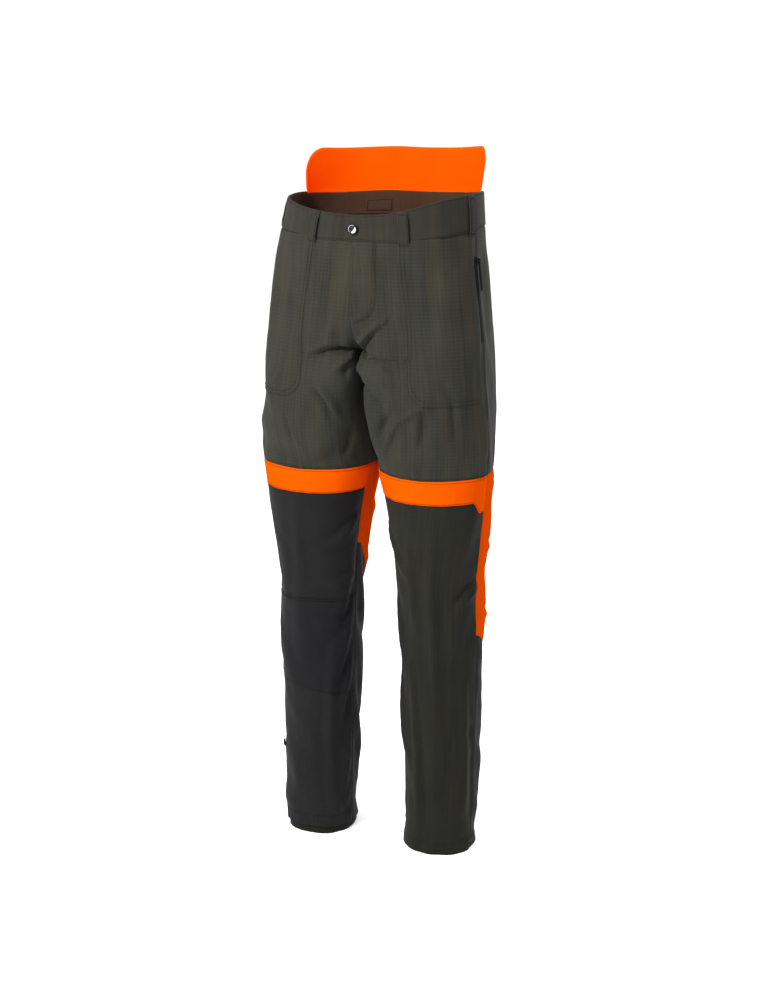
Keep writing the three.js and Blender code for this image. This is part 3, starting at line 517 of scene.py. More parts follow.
def fabric(name, colour, dark, rib=1.3, weft=1.3, rib_depth=0.5, weft_depth=0.35, streak=0.35, grid=0,
           roughness=0.85, sheen=0.02, bump=0.4, lower=1.0, twill=0, specular=0.1, painted_glow=0, broad=0,
           warm=None):
    """Woven cloth: ribs up the piece, finer weft across it, streaks of uneven yarn, worn patches and a
    ripstop grid. It can also carry painted shade, darker towards the hem, and a painted red glow that stands
    in for light."""
    material, nodes, links, shader = new_material(name)
    at = nodes.new("ShaderNodeUVMap")
    at.uv_map = "cloth"
    split = nodes.new("ShaderNodeSeparateXYZ")
    links.new(at.outputs[0], split.inputs[0])
    x, y = split.outputs[0], split.outputs[1]

    def band(source, period_mm):
        turned = math_node(nodes, links, "MULTIPLY", source, 2 * math.pi / (period_mm / 1000))
        wave = math_node(nodes, links, "SINE", turned, 0)
        return math_node(nodes, links, "MULTIPLY_ADD", wave, 0.5)

    def noise(scale, stretch, detail=3):
        mapping = nodes.new("ShaderNodeMapping")
        mapping.inputs["Scale"].default_value = stretch
        links.new(at.outputs[0], mapping.inputs[0])
        texture = nodes.new("ShaderNodeTexNoise")
        texture.inputs["Scale"].default_value = scale
        texture.inputs["Detail"].default_value = detail
        links.new(mapping.outputs[0], texture.inputs[0])
        return texture.outputs[0]

    across = math_node(nodes, links, "ADD", x, math_node(nodes, links, "MULTIPLY", y, twill)) if twill else x
    ribs, wefts = band(across, rib), band(y, weft)
    for wave in (ribs, wefts):
        wave.node.inputs[2].default_value = 0.5
    weave = math_node(nodes, links, "ADD", math_node(nodes, links, "MULTIPLY", ribs, rib_depth),
                      math_node(nodes, links, "MULTIPLY", wefts, weft_depth))
    streaks = noise(1, (230, 9, 1), 4)
    patches = noise(14, (1, 1, 1), 5)
    bands = noise(1, (52, 3.5, 1), 2)
    tone = math_node(nodes, links, "ADD", math_node(nodes, links, "MULTIPLY", weave, 0.45),
                     math_node(nodes, links, "MULTIPLY", streaks, streak))
    tone = math_node(nodes, links, "ADD", tone, math_node(nodes, links, "MULTIPLY", patches, 0.3))
    if broad:
        level = math_node(nodes, links, "SUBTRACT", bands, 0.5)
        tone = math_node(nodes, links, "ADD", tone, math_node(nodes, links, "MULTIPLY", level, broad))
    if grid:
        for source in (x, y):
            cell = math_node(nodes, links, "FRACT", math_node(nodes, links, "MULTIPLY", source, 1000 / grid),
                             0)
            line = math_node(nodes, links, "LESS_THAN", cell, 0.14)
            tone = math_node(nodes, links, "ADD", tone, math_node(nodes, links, "MULTIPLY", line, 0.14))
    mix = nodes.new("ShaderNodeMix")
    mix.data_type = "RGBA"
    mix.inputs["A"].default_value, mix.inputs["B"].default_value = dark, colour
    ramp = nodes.new("ShaderNodeMapRange")
    ramp.inputs["From Min"].default_value, ramp.inputs["From Max"].default_value = 0.2, 0.85
    links.new(tone, ramp.inputs["Value"])
    links.new(ramp.outputs[0], mix.inputs["Factor"])
    base = mix.outputs["Result"]
    if warm:
        tint = nodes.new("ShaderNodeMix")
        tint.data_type, tint.blend_type = "RGBA", "MULTIPLY"
        ramp = nodes.new("ShaderNodeMapRange")
        ramp.inputs["From Min"].default_value, ramp.inputs["From Max"].default_value = 0.42, 0.6
        links.new(bands, ramp.inputs["Value"])
        links.new(ramp.outputs[0], tint.inputs["Factor"])
        tint.inputs["B"].default_value = warm
        links.new(base, tint.inputs["A"])
        base = tint.outputs["Result"]
    # painted shade: the colour darkens towards the hem, below about 0.75 m up the cloth, where less light
    # falls
    if lower != 1:
        painted_shade = nodes.new("ShaderNodeMapRange")
        painted_shade.inputs["From Min"].default_value, painted_shade.inputs["From Max"].default_value = 0.25, 0.75
        painted_shade.inputs["To Min"].default_value, painted_shade.inputs["To Max"].default_value = lower, 1
        links.new(y, painted_shade.inputs["Value"])
        shade = nodes.new("ShaderNodeMix")
        shade.data_type, shade.blend_type = "RGBA", "MULTIPLY"
        shade.inputs["Factor"].default_value = 1
        links.new(base, shade.inputs["A"])
        links.new(painted_shade.outputs[0], shade.inputs["B"])
        base = shade.outputs["Result"]
    links.new(base, shader.inputs["Base Color"])
    rough = nodes.new("ShaderNodeMapRange")
    rough.inputs["To Min"].default_value = roughness + 0.08
    rough.inputs["To Max"].default_value = roughness - 0.08
    links.new(patches, rough.inputs["Value"])
    links.new(rough.outputs[0], shader.inputs["Roughness"])
    shader.inputs["Sheen Weight"].default_value = sheen
    shader.inputs["Sheen Roughness"].default_value = 0.5
    shader.inputs["Specular IOR Level"].default_value = specular
    # painted glow: a red emission that lifts the orange cloth where it is in shade, standing in for light
    shader.inputs["Emission Color"].default_value = (1, 0, 0, 1)
    shader.inputs["Emission Strength"].default_value = painted_glow
    height = math_node(nodes, links, "ADD", weave, math_node(nodes, links, "MULTIPLY", streaks, 0.5))
    surface = nodes.new("ShaderNodeBump")
    surface.inputs["Strength"].default_value = bump
    surface.inputs["Distance"].default_value = 0.0006
    links.new(height, surface.inputs["Height"])
    links.new(surface.outputs[0], shader.inputs["Normal"])
    return material


def hard(name, colour, roughness=0.35, metallic=0.0, scratches=0.12, scale=900, specular=0.5):
    """Metal or moulded plastic with fine wear."""
    material, nodes, links, shader = new_material(name)
    at = nodes.new("ShaderNodeTexCoord")
    texture = nodes.new("ShaderNodeTexNoise")
    texture.inputs["Scale"].default_value = scale
    texture.inputs["Detail"].default_value = 4
    links.new(at.outputs["Object"], texture.inputs[0])
    mix = nodes.new("ShaderNodeMix")
    mix.data_type = "RGBA"
    mix.inputs["A"].default_value = tuple(c * 0.72 for c in colour[:3]) + (1,)
    mix.inputs["B"].default_value = colour
    links.new(texture.outputs[0], mix.inputs["Factor"])
    links.new(mix.outputs["Result"], shader.inputs["Base Color"])
    rough = nodes.new("ShaderNodeMapRange")
    rough.inputs["To Min"].default_value = max(roughness - scratches, 0.05)
    rough.inputs["To Max"].default_value = roughness + scratches
    links.new(texture.outputs[0], rough.inputs["Value"])
    links.new(rough.outputs[0], shader.inputs["Roughness"])
    shader.inputs["Metallic"].default_value = metallic
    shader.inputs["Specular IOR Level"].default_value = specular
    surface = nodes.new("ShaderNodeBump")
    surface.inputs["Strength"].default_value, surface.inputs["Distance"].default_value = 0.15, 0.0002
    links.new(texture.outputs[0], surface.inputs["Height"])
    links.new(surface.outputs[0], shader.inputs["Normal"])
    return material


GREEN = fabric("green_cloth", linear(39, 40, 33), linear(15, 15, 13), rib=1.5, weft=2.2, grid=6, streak=0.5,
               broad=0.7,
               warm=(1.07, 0.96, 0.88, 1))
# painted shade: a darker copy of the green cloth for the lower legs, which get less light, and darker still
# towards the hem
GREEN_LEG_SHADED = fabric("green_leg_cloth", linear(26, 27, 21), linear(10, 10, 8), rib=1.5, weft=2.2, grid=6,
                   streak=0.5,
                   lower=0.72, broad=0.5, warm=(1.08, 0.96, 0.88, 1))
GREEN_BAND = fabric("green_waistband_cloth", linear(40, 39, 32), linear(20, 19, 16), rib=1.5, weft=2.2,
                    streak=0.4,
                    broad=0.3, warm=(1.05, 0.96, 0.9, 1))
BLACK = fabric("black_cloth", linear(22, 21, 21), linear(12, 12, 12), rib=1.2, weft=1.2, twill=1.0,
               streak=0.2)
KNEE = fabric("knee_cloth", linear(17, 16, 19), linear(11, 11, 13), rib=0.9, weft=0.9, streak=0.15, bump=0.2)
SHIN = fabric("shin_cloth", linear(21, 21, 21), linear(8, 8, 8), rib=2.6, weft=2.6, rib_depth=0.7,
              weft_depth=0.7, streak=0.25, bump=0.6)
# painted light: the thigh-band orange carries a painted red glow that lifts it where it is in shade
ORANGE = fabric("orange_cloth", (0.40, 0.058, 0.0003, 1), (0.34, 0.046, 0.0003, 1), rib=1.1, weft=1.1,
                streak=0.2,
                bump=0.25, specular=0, sheen=0, painted_glow=0.2)
# painted light: a copy of the orange for the kidney flap with a dimmer base and a strong painted red glow, so
# it stays evenly bright where it is in shade
ORANGE_FLAP_PAINTED_GLOW = fabric("orange_flap_cloth", (0.16, 0.053, 0.0003, 1), (0.13, 0.045, 0.0003, 1), rib=1.1,
                     weft=1.1,
                     streak=0.2, bump=0.25, specular=0, sheen=0, painted_glow=0.72)
# painted shade: a copy of the orange for the back panels, redder and with little painted glow, matched to the
# darker red the orange takes in shade
ORANGE_BACK_SHADED = fabric("orange_back_cloth", (0.42, 0.045, 0.0003, 1), (0.36, 0.036, 0.0003, 1), rib=1.1,
                     weft=1.1,
                     streak=0.2, bump=0.25, specular=0, sheen=0, painted_glow=0.04)
LINING = fabric("lining_cloth", linear(60, 38, 25), linear(40, 25, 16), rib=1.0, weft=1.0, streak=0.2)
LABEL = fabric("label_cloth", linear(58, 40, 28), linear(42, 28, 20), rib=0.7, weft=0.7, streak=0.1)
PADDING = fabric("cut_padding", linear(150, 144, 128), linear(120, 114, 100), rib=1.6, weft=3.0, streak=0.4)
TAPE = fabric("zip_tape", linear(18, 18, 18), linear(10, 10, 10), rib=0.8, weft=0.8, streak=0.1)
METAL = hard("zip_metal", (0.42, 0.41, 0.40, 1), 0.3, 1)
BUTTON_METAL = hard("button_metal", (0.5, 0.5, 0.5, 1), 0.3, scratches=0.05, specular=0.2)
BLACK_METAL = hard("black_metal", (0.008, 0.008, 0.008, 1), 0.5, specular=0.1)
PULL = hard("pull_tab", (0.004, 0.004, 0.004, 1), 0.85, specular=0.05)
GREEN_THREAD = hard("green_thread", linear(22, 22, 17), 0.8, scratches=0.05, specular=0.05)
BLACK_THREAD = hard("black_thread", linear(10, 10, 10), 0.8, scratches=0.05, specular=0.05)
ORANGE_THREAD = hard("orange_thread", (0.30, 0.03, 0.001, 1), 0.7, scratches=0.05, specular=0.05)
RED_THREAD = hard("red_thread", linear(70, 12, 12), 0.7, scratches=0.05, specular=0.1)


# ------------------------------------------------------------------ making pieces
SIDES = ("left", "right")


def attach(piece, where, nodes=()):
    """where is a body, "flap root", or ("hip" or "knee", side); all but a body only have the transform baked
    in.
    """
    if where == "flap root":
        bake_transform(piece)
    elif isinstance(where, tuple):
        joint, side = where
        if joint == "hip":
            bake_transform(piece)
        else:
            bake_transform(piece)
    else:
        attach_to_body(piece, where)
    if nodes:
        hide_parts(*nodes)
    return piece


def slump(points):
    """The waist of the wearer's right side sits lower than the left."""
    drop = (3 + 14 * smooth(-points[:, 0], 20, 165)) * smooth(points[:, 2], 1005, 1085)
    return points - np.stack([0 * drop, 0 * drop, drop], -1)


def mesh_object(name, points_mm, faces, material, uvs=None, smooth_shading=True):
    points = slump(np.asarray(points_mm, float).reshape(-1, 3)) / 1000
    points[:, 2] -= WAIST_TOP / 1000
    mesh = bpy.data.meshes.new(name)
    mesh.from_pydata(points.tolist(), [], [list(map(int, f)) for f in faces])
    mesh.update()
    if uvs is not None:
        layer = mesh.uv_layers.new(name="cloth")
        loops = np.zeros(len(mesh.loops), int)
        mesh.loops.foreach_get("vertex_index", loops)
        layer.data.foreach_set("uv", np.asarray(uvs, np.float32)[loops].ravel())
    if smooth_shading:
        mesh.polygons.foreach_set("use_smooth", [True] * len(mesh.polygons))
    mesh.materials.append(material)
    piece = bpy.data.objects.new(name, mesh)
    bpy.context.scene.collection.objects.link(piece)
    return piece


def spaced(length, step, fine):
    """Shares from 0 to 1 about a step apart, with closer ones towards both ends where a seam rolls under."""
    count = max(2, int(round(length / step)))
    even = np.linspace(0, 1, count + 1)
    ends = np.array([0, *fine]) / length
    inside = even[(even > ends[-1] * 1.4) & (even < 1 - ends[-1] * 1.4)]
    return np.concatenate([ends, inside, 1 - ends[::-1]])


def edge_fall(distance, depth, width):
    return -depth * np.exp(-((distance / width) ** 2))


def surface(side, u, z, lift=0.0, displaced=1.0):
    """Points on the cloth of one side, lifted along its normal, in millimetres."""
    u, z = np.broadcast_arrays(np.asarray(u, float), np.asarray(z, float))
    height = lift + (displaced * displacement(side, u, z) if displaced else 0)
    points = body(u, z) + normal(u, z) * np.asarray(height)[..., None]
    return points if side == "left" else points * (-1, 1, 1)


def closed_cloth(name, middle, out, thickness, material, uvs, flip, roll=1.0):
    """A closed thin sheet on a grid of middle points: two layers, the outer one rolled in at its edges."""
    columns, rows = middle.shape[:2]
    half = np.full((columns, rows), thickness / 2)
    half[0, :] *= 0.35 * roll
    half[-1, :] *= 0.35 * roll
    half[:, 0] *= 0.35 * roll
    half[:, -1] *= 0.35 * roll
    outer = (middle + out * half[..., None]).reshape(-1, 3)
    inner = (middle - out * half[..., None]).reshape(-1, 3)
    count = columns * rows
    index = np.arange(count).reshape(columns, rows)
    a, b, c, d = index[:-1, :-1], index[1:, :-1], index[1:, 1:], index[:-1, 1:]
    quads = np.stack([a, b, c, d], -1).reshape(-1, 4)
    faces = [quads, quads[:, ::-1] + count]
    for line in (index[::-1, 0], index[-1, ::-1], index[:, -1], index[0, :]):
        p, q = line[:-1], line[1:]
        faces.append(np.stack([p, q, q + count, p + count], -1))
    faces = np.concatenate(faces)
    if flip:
        faces = faces[:, ::-1]
    return mesh_object(name, np.concatenate([outer, inner]), faces, material, np.concatenate([uvs, uvs]))


def panel(name, side, edges, heights, material, where, nodes, thickness=1.4, lift=0.0, step=4.6,
          dips=(1.0, 1.0, 1.0, 1.0), displaced=1.0, shape=None, map_uz=None,
          extra=None,
          rows=None, fill=None):
    """A cloth panel between two u values and two edges of height.

    dips: how deep each edge is drawn in: u0, u1, low, high."""
    if map_uz is None:
        u0, u1 = edges
        low, high = (h if callable(h) else (lambda u, h=h: np.full(np.shape(u), float(h))) for h in heights)

        def map_uz(s, t):
            u = lerp(u0, u1, s)
            return u, lerp(low(u), high(u), t)
    t_line = np.linspace(0, 1, 9)
    tall = float(np.linalg.norm(np.diff(body(*map_uz(np.full(9, 0.5), t_line)), axis=0), axis=1).sum())
    wide = float(np.linalg.norm(np.diff(body(*map_uz(t_line, np.full(9, 0.5))), axis=0), axis=1).sum())
    fine = [0.5, 1.4, 2.8]
    s_line, t_line = spaced(wide, step, fine), spaced(tall, step, fine) if rows is None else rows
    s, t = np.meshgrid(s_line, t_line, indexing="ij")
    u, z = map_uz(s, t)
    base = body(u, z)
    across = np.linalg.norm(np.diff(base, axis=0), axis=2)
    upward = np.linalg.norm(np.diff(base, axis=1), axis=2)
    x_mm = np.concatenate([np.zeros((1, len(t_line))), across.cumsum(0)])
    y_mm = np.concatenate([np.zeros((len(s_line), 1)), upward.cumsum(1)], 1)
    height = np.full(u.shape, 0.0) + (lift(u, z) if callable(lift) else lift)
    if displaced:
        height = height + displaced * displacement(side, u, z)
    pucker = 1 + 0.3 * np.sin(y_mm / 5.3 + 1.7 * np.sin(y_mm / 17)) * np.sin(y_mm / 31 + 1)
    gather = 1 + 0.3 * np.sin(x_mm / 5.3 + 1.7 * np.sin(x_mm / 17)) * np.sin(x_mm / 31 + 1)
    pucker *= 1 - 0.95 * np.exp(-(((z - 852) / 26) ** 2)) * ((u < 0.03) | (u > 0.97))
    height += edge_fall(x_mm, dips[0], 2.6) * pucker + edge_fall(x_mm[-1] - x_mm, dips[1], 2.6) * pucker
    height += edge_fall(y_mm, dips[2], 2.6) * gather + edge_fall(y_mm[:, -1:] - y_mm, dips[3], 2.6) * gather
    if extra is not None:
        height += extra(u, z, x_mm, y_mm)
    out = normal(u, z)
    middle = base + out * height[..., None]
    if shape is not None:
        middle = shape(middle, u, z)
    if side == "right":
        middle, out = middle * (-1, 1, 1), out * (-1, 1, 1)
    uvs = np.stack([arc(u, z) / 1000, z / 1000], -1).reshape(-1, 2)
    piece = closed_cloth(name, middle, out, thickness, material, uvs, side == "right")
    cell = np.cross(base[1:, 1:] - base[:-1, :-1], base[:-1, 1:] - base[1:, :-1])
    area = float(np.linalg.norm(cell, axis=2).sum() / 2) / 1e6
    flat = (max(float(x_mm[-1].max()), 10.1) / 1000, max(float(y_mm[:, -1].max()), 10.1) / 1000)
    attach(piece, where, nodes)
    if fill is None:
        area = min(max(area, 0.31 * flat[0] * flat[1]), flat[0] * flat[1])
    return piece


def capsule_rings(points, out, length, radius):
    """One stitch for each pair of points: a small spindle lying on the cloth."""
    verts, faces = [], []
    for p, n in zip(points, out):
        a, b = p
        along = b - a
        size = np.linalg.norm(along)
        if size < 1e-6:
            continue
        along = along / size
        side_way = np.cross(along, n)
        side_way /= max(np.linalg.norm(side_way), 1e-9)
        start = len(verts)
        verts.append(a)
        for share in (0.22, 0.78):
            for k in range(5):
                turn = 2 * math.pi * k / 5
                round_it = math.cos(turn) * side_way + 0.8 * math.sin(turn) * n
                verts.append(a + along * size * share + radius * round_it)
        verts.append(b)
        for k in range(5):
            m = (k + 1) % 5
            faces += [(start, start + 1 + m, start + 1 + k), (start + 1 + k, start + 1 + m, start + 6 + m),
                      (start + 1 + k, start + 6 + m, start + 6 + k),
                      (start + 11, start + 6 + k, start + 6 + m)]
    return verts, faces


STITCH_ROWS = {}


def stitch(group, side, path, lift=1.0, pitch=3.6, share=0.72, radius=0.34, displaced=1.0):
    """Adds a stitched row to a group; path is a list of (u, z) points on one side."""
    line = np.array(path, float)
    dense = np.linspace(0, len(line) - 1, max(40, len(line) * 12))
    u = np.interp(dense, np.arange(len(line)), line[:, 0])
    z = np.interp(dense, np.arange(len(line)), line[:, 1])
    points = surface(side, u, z, lift, displaced)
    travelled = np.concatenate([[0], np.linalg.norm(np.diff(points, axis=0), axis=1).cumsum()])
    count = int(travelled[-1] / pitch)
    if count < 1:
        return
    starts = np.arange(count) * travelled[-1] / count
    pick = [np.interp(np.stack([starts, starts + pitch * share], 1), travelled,
                      points[:, k]) for k in range(3)]
    ends = np.stack(pick, -1)
    out = normal(np.interp(starts, travelled, u), np.interp(starts, travelled, z))
    if side == "right":
        out = out * (-1, 1, 1)
    STITCH_ROWS.setdefault(group, []).append((ends, out, pitch * share, radius))


def sew(group, material, where):
    """Makes one piece of all the rows in a group."""
    verts, faces = [], []
    for ends, out, length, radius in STITCH_ROWS.pop(group, []):
        new_verts, new_faces = capsule_rings(ends, out, length, radius)
        faces += [tuple(i + len(verts) for i in f) for f in new_faces]
        verts += new_verts
    piece = mesh_object(group, verts, faces, material)
    return attach(piece, where, ())


def row(u0, u1, height, count=24, offset=0.0):
    """Points across a panel at a height or along an edge."""
    u = np.linspace(u0, u1, count)
    z = height(u) if callable(height) else np.full(count, float(height))
    return list(zip(u, np.broadcast_to(z, u.shape) + offset))


# ------------------------------------------------------------------ seat, hips and thighs
def body_rows(low=BAND_TOP):
    """Row shares from a low edge to the waist seam, close together where the crotch seam runs level."""
    turn = np.arange(0, math.pi / 2, 0.05)
    crotch = CROTCH + CROTCH_CURVE * (1 - np.cos(turn))
    fine = np.array([0.5, 1.4, 2.8])
    below = np.arange(low + 7, CROTCH - 2, 3.6)
    above = np.arange(CROTCH + CROTCH_CURVE + 2, WAIST_SEAM - 6, 4.2)
    z = np.concatenate([[low], low + fine, below, crotch, above, WAIST_SEAM - fine[::-1], [WAIST_SEAM]])
    return (z - low) / (WAIST_SEAM - low)


LEVEL = 935


def half_map(back):
    def map_uz(s, t):
        z = lerp(BAND_TOP, WAIST_SEAM, t)
        u = u_of_column((s + back) / 2, z)
        return u, np.where(z < LEVEL, z, lerp(LEVEL, waist_seam(u), (z - LEVEL) / (WAIST_SEAM - LEVEL)))
    return map_uz


FLY_WIDTH, FLY_TURN, FLY_END = 38, 928, 892


def fly_line(z):
    """Distance of the fly's curved stitching from the centre seam."""
    t = np.clip((FLY_TURN - z) / (FLY_TURN - FLY_END), 0, 1)
    return FLY_WIDTH * np.sqrt(1 - t * t)


def fly_relief(u, z, x_mm, y_mm):
    line = fly_line(z)
    inside = smooth(line - x_mm, -0.8, 1.2) * (z > FLY_END)
    groove = np.exp(-(((x_mm - line) / 1.4) ** 2)) * (z > FLY_END)
    return 1.1 * inside - 0.6 * groove


for side in SIDES:
    hip = ("hip", side)
    panel("front_" + side, side, None, None, GREEN, hip,
          [f"front_panel_{side}", f"front_rise_{side}", f"thigh_front_{side}"],
          rows=body_rows(),
          map_uz=half_map(0), step=3.6, dips=(0.9, 0.9, 1.2, 1.0),
          extra=fly_relief if side == "left" else None)
    panel("back_" + side, side, None, None, GREEN, hip,
          [f"seat_panel_{side}", f"back_rise_{side}", f"thigh_back_{side}"], rows=body_rows(),
          map_uz=half_map(1), dips=(0.9, 0.9, 1.0, 1.0))

# ------------------------------------------------------------------ front pockets
POCKET = {"left": (72, 89), "right": (66, 88), "corner": 36, "sideGap": 9}


def pocket_edge_x(side, z):
    """Distance of the pocket's front edge from the centre plane: straight, then round its lower corner."""
    top, bottom = POCKET[side]
    x = lerp(bottom, top, smooth(z, 860, WAIST_SEAM))
    reach = POCKET["corner"] - np.clip(z - POCKET_BOTTOM, 0, POCKET["corner"])
    return x + POCKET["corner"] - np.sqrt(POCKET["corner"] ** 2 - reach ** 2)


pocket_rows = body_rows(POCKET_BOTTOM)
pocket_rows = np.sort(np.concatenate([pocket_rows, (1 - np.cos(np.linspace(0.1, 1.2, 12))) * 0.12]))
for side in SIDES:
    def pocket_map(s, t):
        z = lerp(POCKET_BOTTOM, WAIST_SEAM, t)
        top = waist_seam(np.full(np.shape(z), 0.3))
        z = np.where(z < LEVEL, z, lerp(LEVEL, top, (z - LEVEL) / (WAIST_SEAM - LEVEL)))
        edge = arc(u_at_x(pocket_edge_x(side, z), z), z)
        return u_at_arc(lerp(edge, -POCKET["sideGap"], s), z), z

    panel("front_pocket_" + side, side, None, None, GREEN, ("hip", side), ["front_pocket_" + side],
          thickness=1.2, lift=1.3, map_uz=pocket_map, rows=pocket_rows, dips=(1.0, 0.8, 1.0, 0.5))

# ------------------------------------------------------------------ waistband
lap_u = float(u_at_x(np.array(15.0), WAIST_TOP))
underlap_u = float(u_at_x(np.array(28.0), WAIST_TOP))
BAND_DIPS = (0.5, 0.7, 0.9, 0.6)
panel("waistband_front_left", "left", (-lap_u, 0.5), (waist_seam, waist_top), GREEN_BAND, "seat",
      ["waistband_front_left"], thickness=2.4, lift=0.3, displaced=0, dips=BAND_DIPS, step=4)


def underlap(u, z):
    x = body(u, np.full(np.shape(u), float(WAIST_TOP)))[..., 0]
    return -3.2 * (1 - smooth(x, 16, 24))


panel("waistband_front_right", "right", (-underlap_u, 0.5), (waist_seam, waist_top), GREEN_BAND, "seat",
      ["waistband_front_right"], thickness=2.0, lift=underlap, displaced=0, dips=BAND_DIPS,
      step=4)
panel("waistband_back", "left", (0.5, 1.5), (waist_seam, waist_top), GREEN_BAND, "seat", ["waistband_back"],
      thickness=2.4, lift=0.3, displaced=0, dips=BAND_DIPS)
panel("waistband_lining", "left", (0.12, 1.88), (lambda u: waist_seam(u) + 1, lambda u: waist_top(u) - 1.2),
      LINING,
      "seat", ["waistband_lining"], thickness=1.0, lift=-2.4, displaced=0,
      dips=(0.3, 0.3, 0.2, -0.8))

LABEL_X, LABEL_WIDTH, LABEL_HEIGHT, LABEL_DROP = -56, 44, 22, 14
label_turn = math.degrees(math.acos(-LABEL_X / 162))
label_u = 2 - (0.5 + 0.5 * (label_turn + 8) / 98)
label_half = LABEL_WIDTH / 2 / float(mm_per_u(2 - label_u, float(WAIST_TOP)))
label_top = float(waist_top(np.array(label_u))) - LABEL_DROP
panel("blank_label", "left", (label_u - label_half, label_u + label_half),
      (label_top - LABEL_HEIGHT, label_top),
      LABEL, "seat", ["blank_label"], thickness=0.7, lift=-3.6, displaced=0, step=3,
      dips=(-0.3,) * 4)

# ------------------------------------------------------------------ belt loops
LOOP = {"width": 16, "rest": 2.4, "stand": 3.0, "foot": 0.18, "below": 9, "drop": 2}


def loop_piece(name, side, centre_u):
    stand = LOOP["stand"] * (0.45 if "side" in name else 1)
    lean = 3 if "front" in name else 0
    low = float(waist_seam(np.array(centre_u))) - LOOP["below"]
    high = float(waist_top(np.array(centre_u))) - LOOP["drop"]

    def map_uz(s, t):
        z = lerp(low, high, t)
        return centre_u + ((s - 0.5) * LOOP["width"] + lean * (0.5 - t)) / mm_per_u(np.full(np.shape(z),
                                                                                            centre_u), z), z

    def lift(u, z):
        t = (z - low) / (high - low)
        rise = smooth(t, LOOP["foot"] - 0.12, LOOP["foot"] + 0.08)
        fall = 1 - smooth(t, 0.92 - LOOP["foot"], 1.12 - LOOP["foot"])
        return LOOP["rest"] + stand * np.minimum(rise, fall) - 1.4 * (1 - smooth(t, 0, 0.12))

    panel(name, side, None, None, GREEN_BAND, "seat", [name], thickness=1.8, lift=lift,
          displaced=0,
          map_uz=map_uz, step=2.2, dips=(0.35, 0.35, 0.3, 0.3))
    span = LOOP["width"] / float(mm_per_u(centre_u, (low + high) / 2))
    for share in (0.14, 0.86):
        z = np.linspace(low + 3, high - 3, 24)
        u = centre_u + (share - 0.5 + lean / LOOP["width"] * (0.5 - (z - low) / (high - low))) * span
        top = lift(u, z) + 1.0
        line = surface(side, u, z, top, 0)
        add_row("waist_stitches", line, side_normals(side, u, z), 3.2, 0.3)
    for z in (low + 4.5, low + 6.0, high - 5.5, high - 4.0):
        u = np.linspace(centre_u - span * 0.36, centre_u + span * 0.36, 10)
        height = lift(u, np.full(10, z)) + 1.05
        add_row("waist_stitches", surface(side, u, np.full(10, z), height, 0),
                side_normals(side, u, np.full(10, z)),
                1.3, 0.34)


def side_normals(side, u, z):
    out = normal(u, z)
    return out if side == "left" else out * (-1, 1, 1)


def add_row(group, points, out, pitch, radius, share=0.74):
    """A stitched row along points already on the cloth."""
    travelled = np.concatenate([[0], np.linalg.norm(np.diff(points, axis=0), axis=1).cumsum()])
    count = max(1, int(travelled[-1] / pitch))
    starts = np.arange(count) * travelled[-1] / count
    ends = np.stack([np.interp(np.stack([starts, starts + pitch * share], 1), travelled, points[:, k])
                     for k in range(3)], -1)
    normals = np.stack([np.interp(starts, travelled, out[:, k]) for k in range(3)], -1)
    STITCH_ROWS.setdefault(group, []).append((ends, normals, pitch * share, radius))


for side, loop_x in (("left", 75.0), ("right", 67.0)):
    for place, u in (("front", float(u_at_x(np.array(loop_x), WAIST_TOP))), ("side", 0.47), ("back", 0.8)):
        loop_piece(f"belt_loop_{place}_{side}", side, u)
loop_piece("belt_loop_centre_back", "left", 1.0)

# ------------------------------------------------------------------ back pocket
panel("back_pocket_right", "right", (0.70, 0.86), (904, 985), GREEN, "seat", ["back_pocket_right"],
      lift=1.6, dips=(1.2, 1.2, 1.2, 0.6))
panel("back_pocket_flap_right", "right", (0.695, 0.865), (948, 1003), GREEN, "seat",
      ["back_pocket_flap_right"],
      thickness=1.8, lift=3.4, dips=(0.9, 0.9, 0.5, 1.6))

# ------------------------------------------------------------------ legs
def hem_relief(u, z, x_mm, y_mm):
    """The turned hem, thicker below its stitching."""
    return 0.7 * (1 - smooth(y_mm, 19, 21)) - 0.5 * np.exp(-(((y_mm - 20) / 1.6) ** 2))


for side in SIDES:
    knee, thigh = ("knee", side), "thigh_" + side
    panel("thigh_band_" + side, side, (0, 0.5), (band_bottom, BAND_TOP), ORANGE, thigh,
          ["thigh_band_" + side],
          thickness=1.6, lift=0.7, step=3.2, dips=(1.2, 1.2, 0.9, 0.9))
    panel("knee_back_" + side, side, (0.5, 1), (calf_edge, BAND_TOP), ORANGE_BACK_SHADED, knee,
          ["knee_back_" + side])
    low = 0 if side == "left" else UNDER_HEM_DROP
    panel("calf_back_" + side, side, (0.5, 1), (low, calf_edge), BLACK, knee, ["calf_back_" + side],
          dips=(0.9, 0.9, 0, 1.0), extra=hem_relief)
panel("leg_front_left", "left", (0, 0.5), (0, band_bottom), GREEN_LEG_SHADED, ("knee", "left"),
      ["knee_front_left", "shin_front_left"],
      dips=(0.9, 0.9, 0, 1.2),
      extra=hem_relief)
panel("knee_front_right", "right", (0, 0.5), (KNEE_SEAM, band_bottom), BLACK, ("knee", "right"),
      ["knee_front_right"], dips=(0.9, 0.9, 0.8, 1.2))
panel("knee_patch_right", "right", (0, 0.5), (patch_bottom, KNEE_SEAM), KNEE, ("knee", "right"),
      ["knee_patch_right"], lift=0.4, dips=(0.9, 0.9, 0.8, 0.8))
panel("shin_front_right", "right", (0, 0.5), (UNDER_HEM_DROP, patch_bottom), SHIN, ("knee", "right"),
      ["shin_front_right"], dips=(0.9, 0.9, 0, 0.8),
      extra=hem_relief)
panel("under_hem_right", "right", (0.003, 0.997), (0, 40), GREEN_LEG_SHADED, "shin_right", ["under_hem_right"],
      thickness=1.2, lift=-3.2, dips=(0, 0, 0, 0))


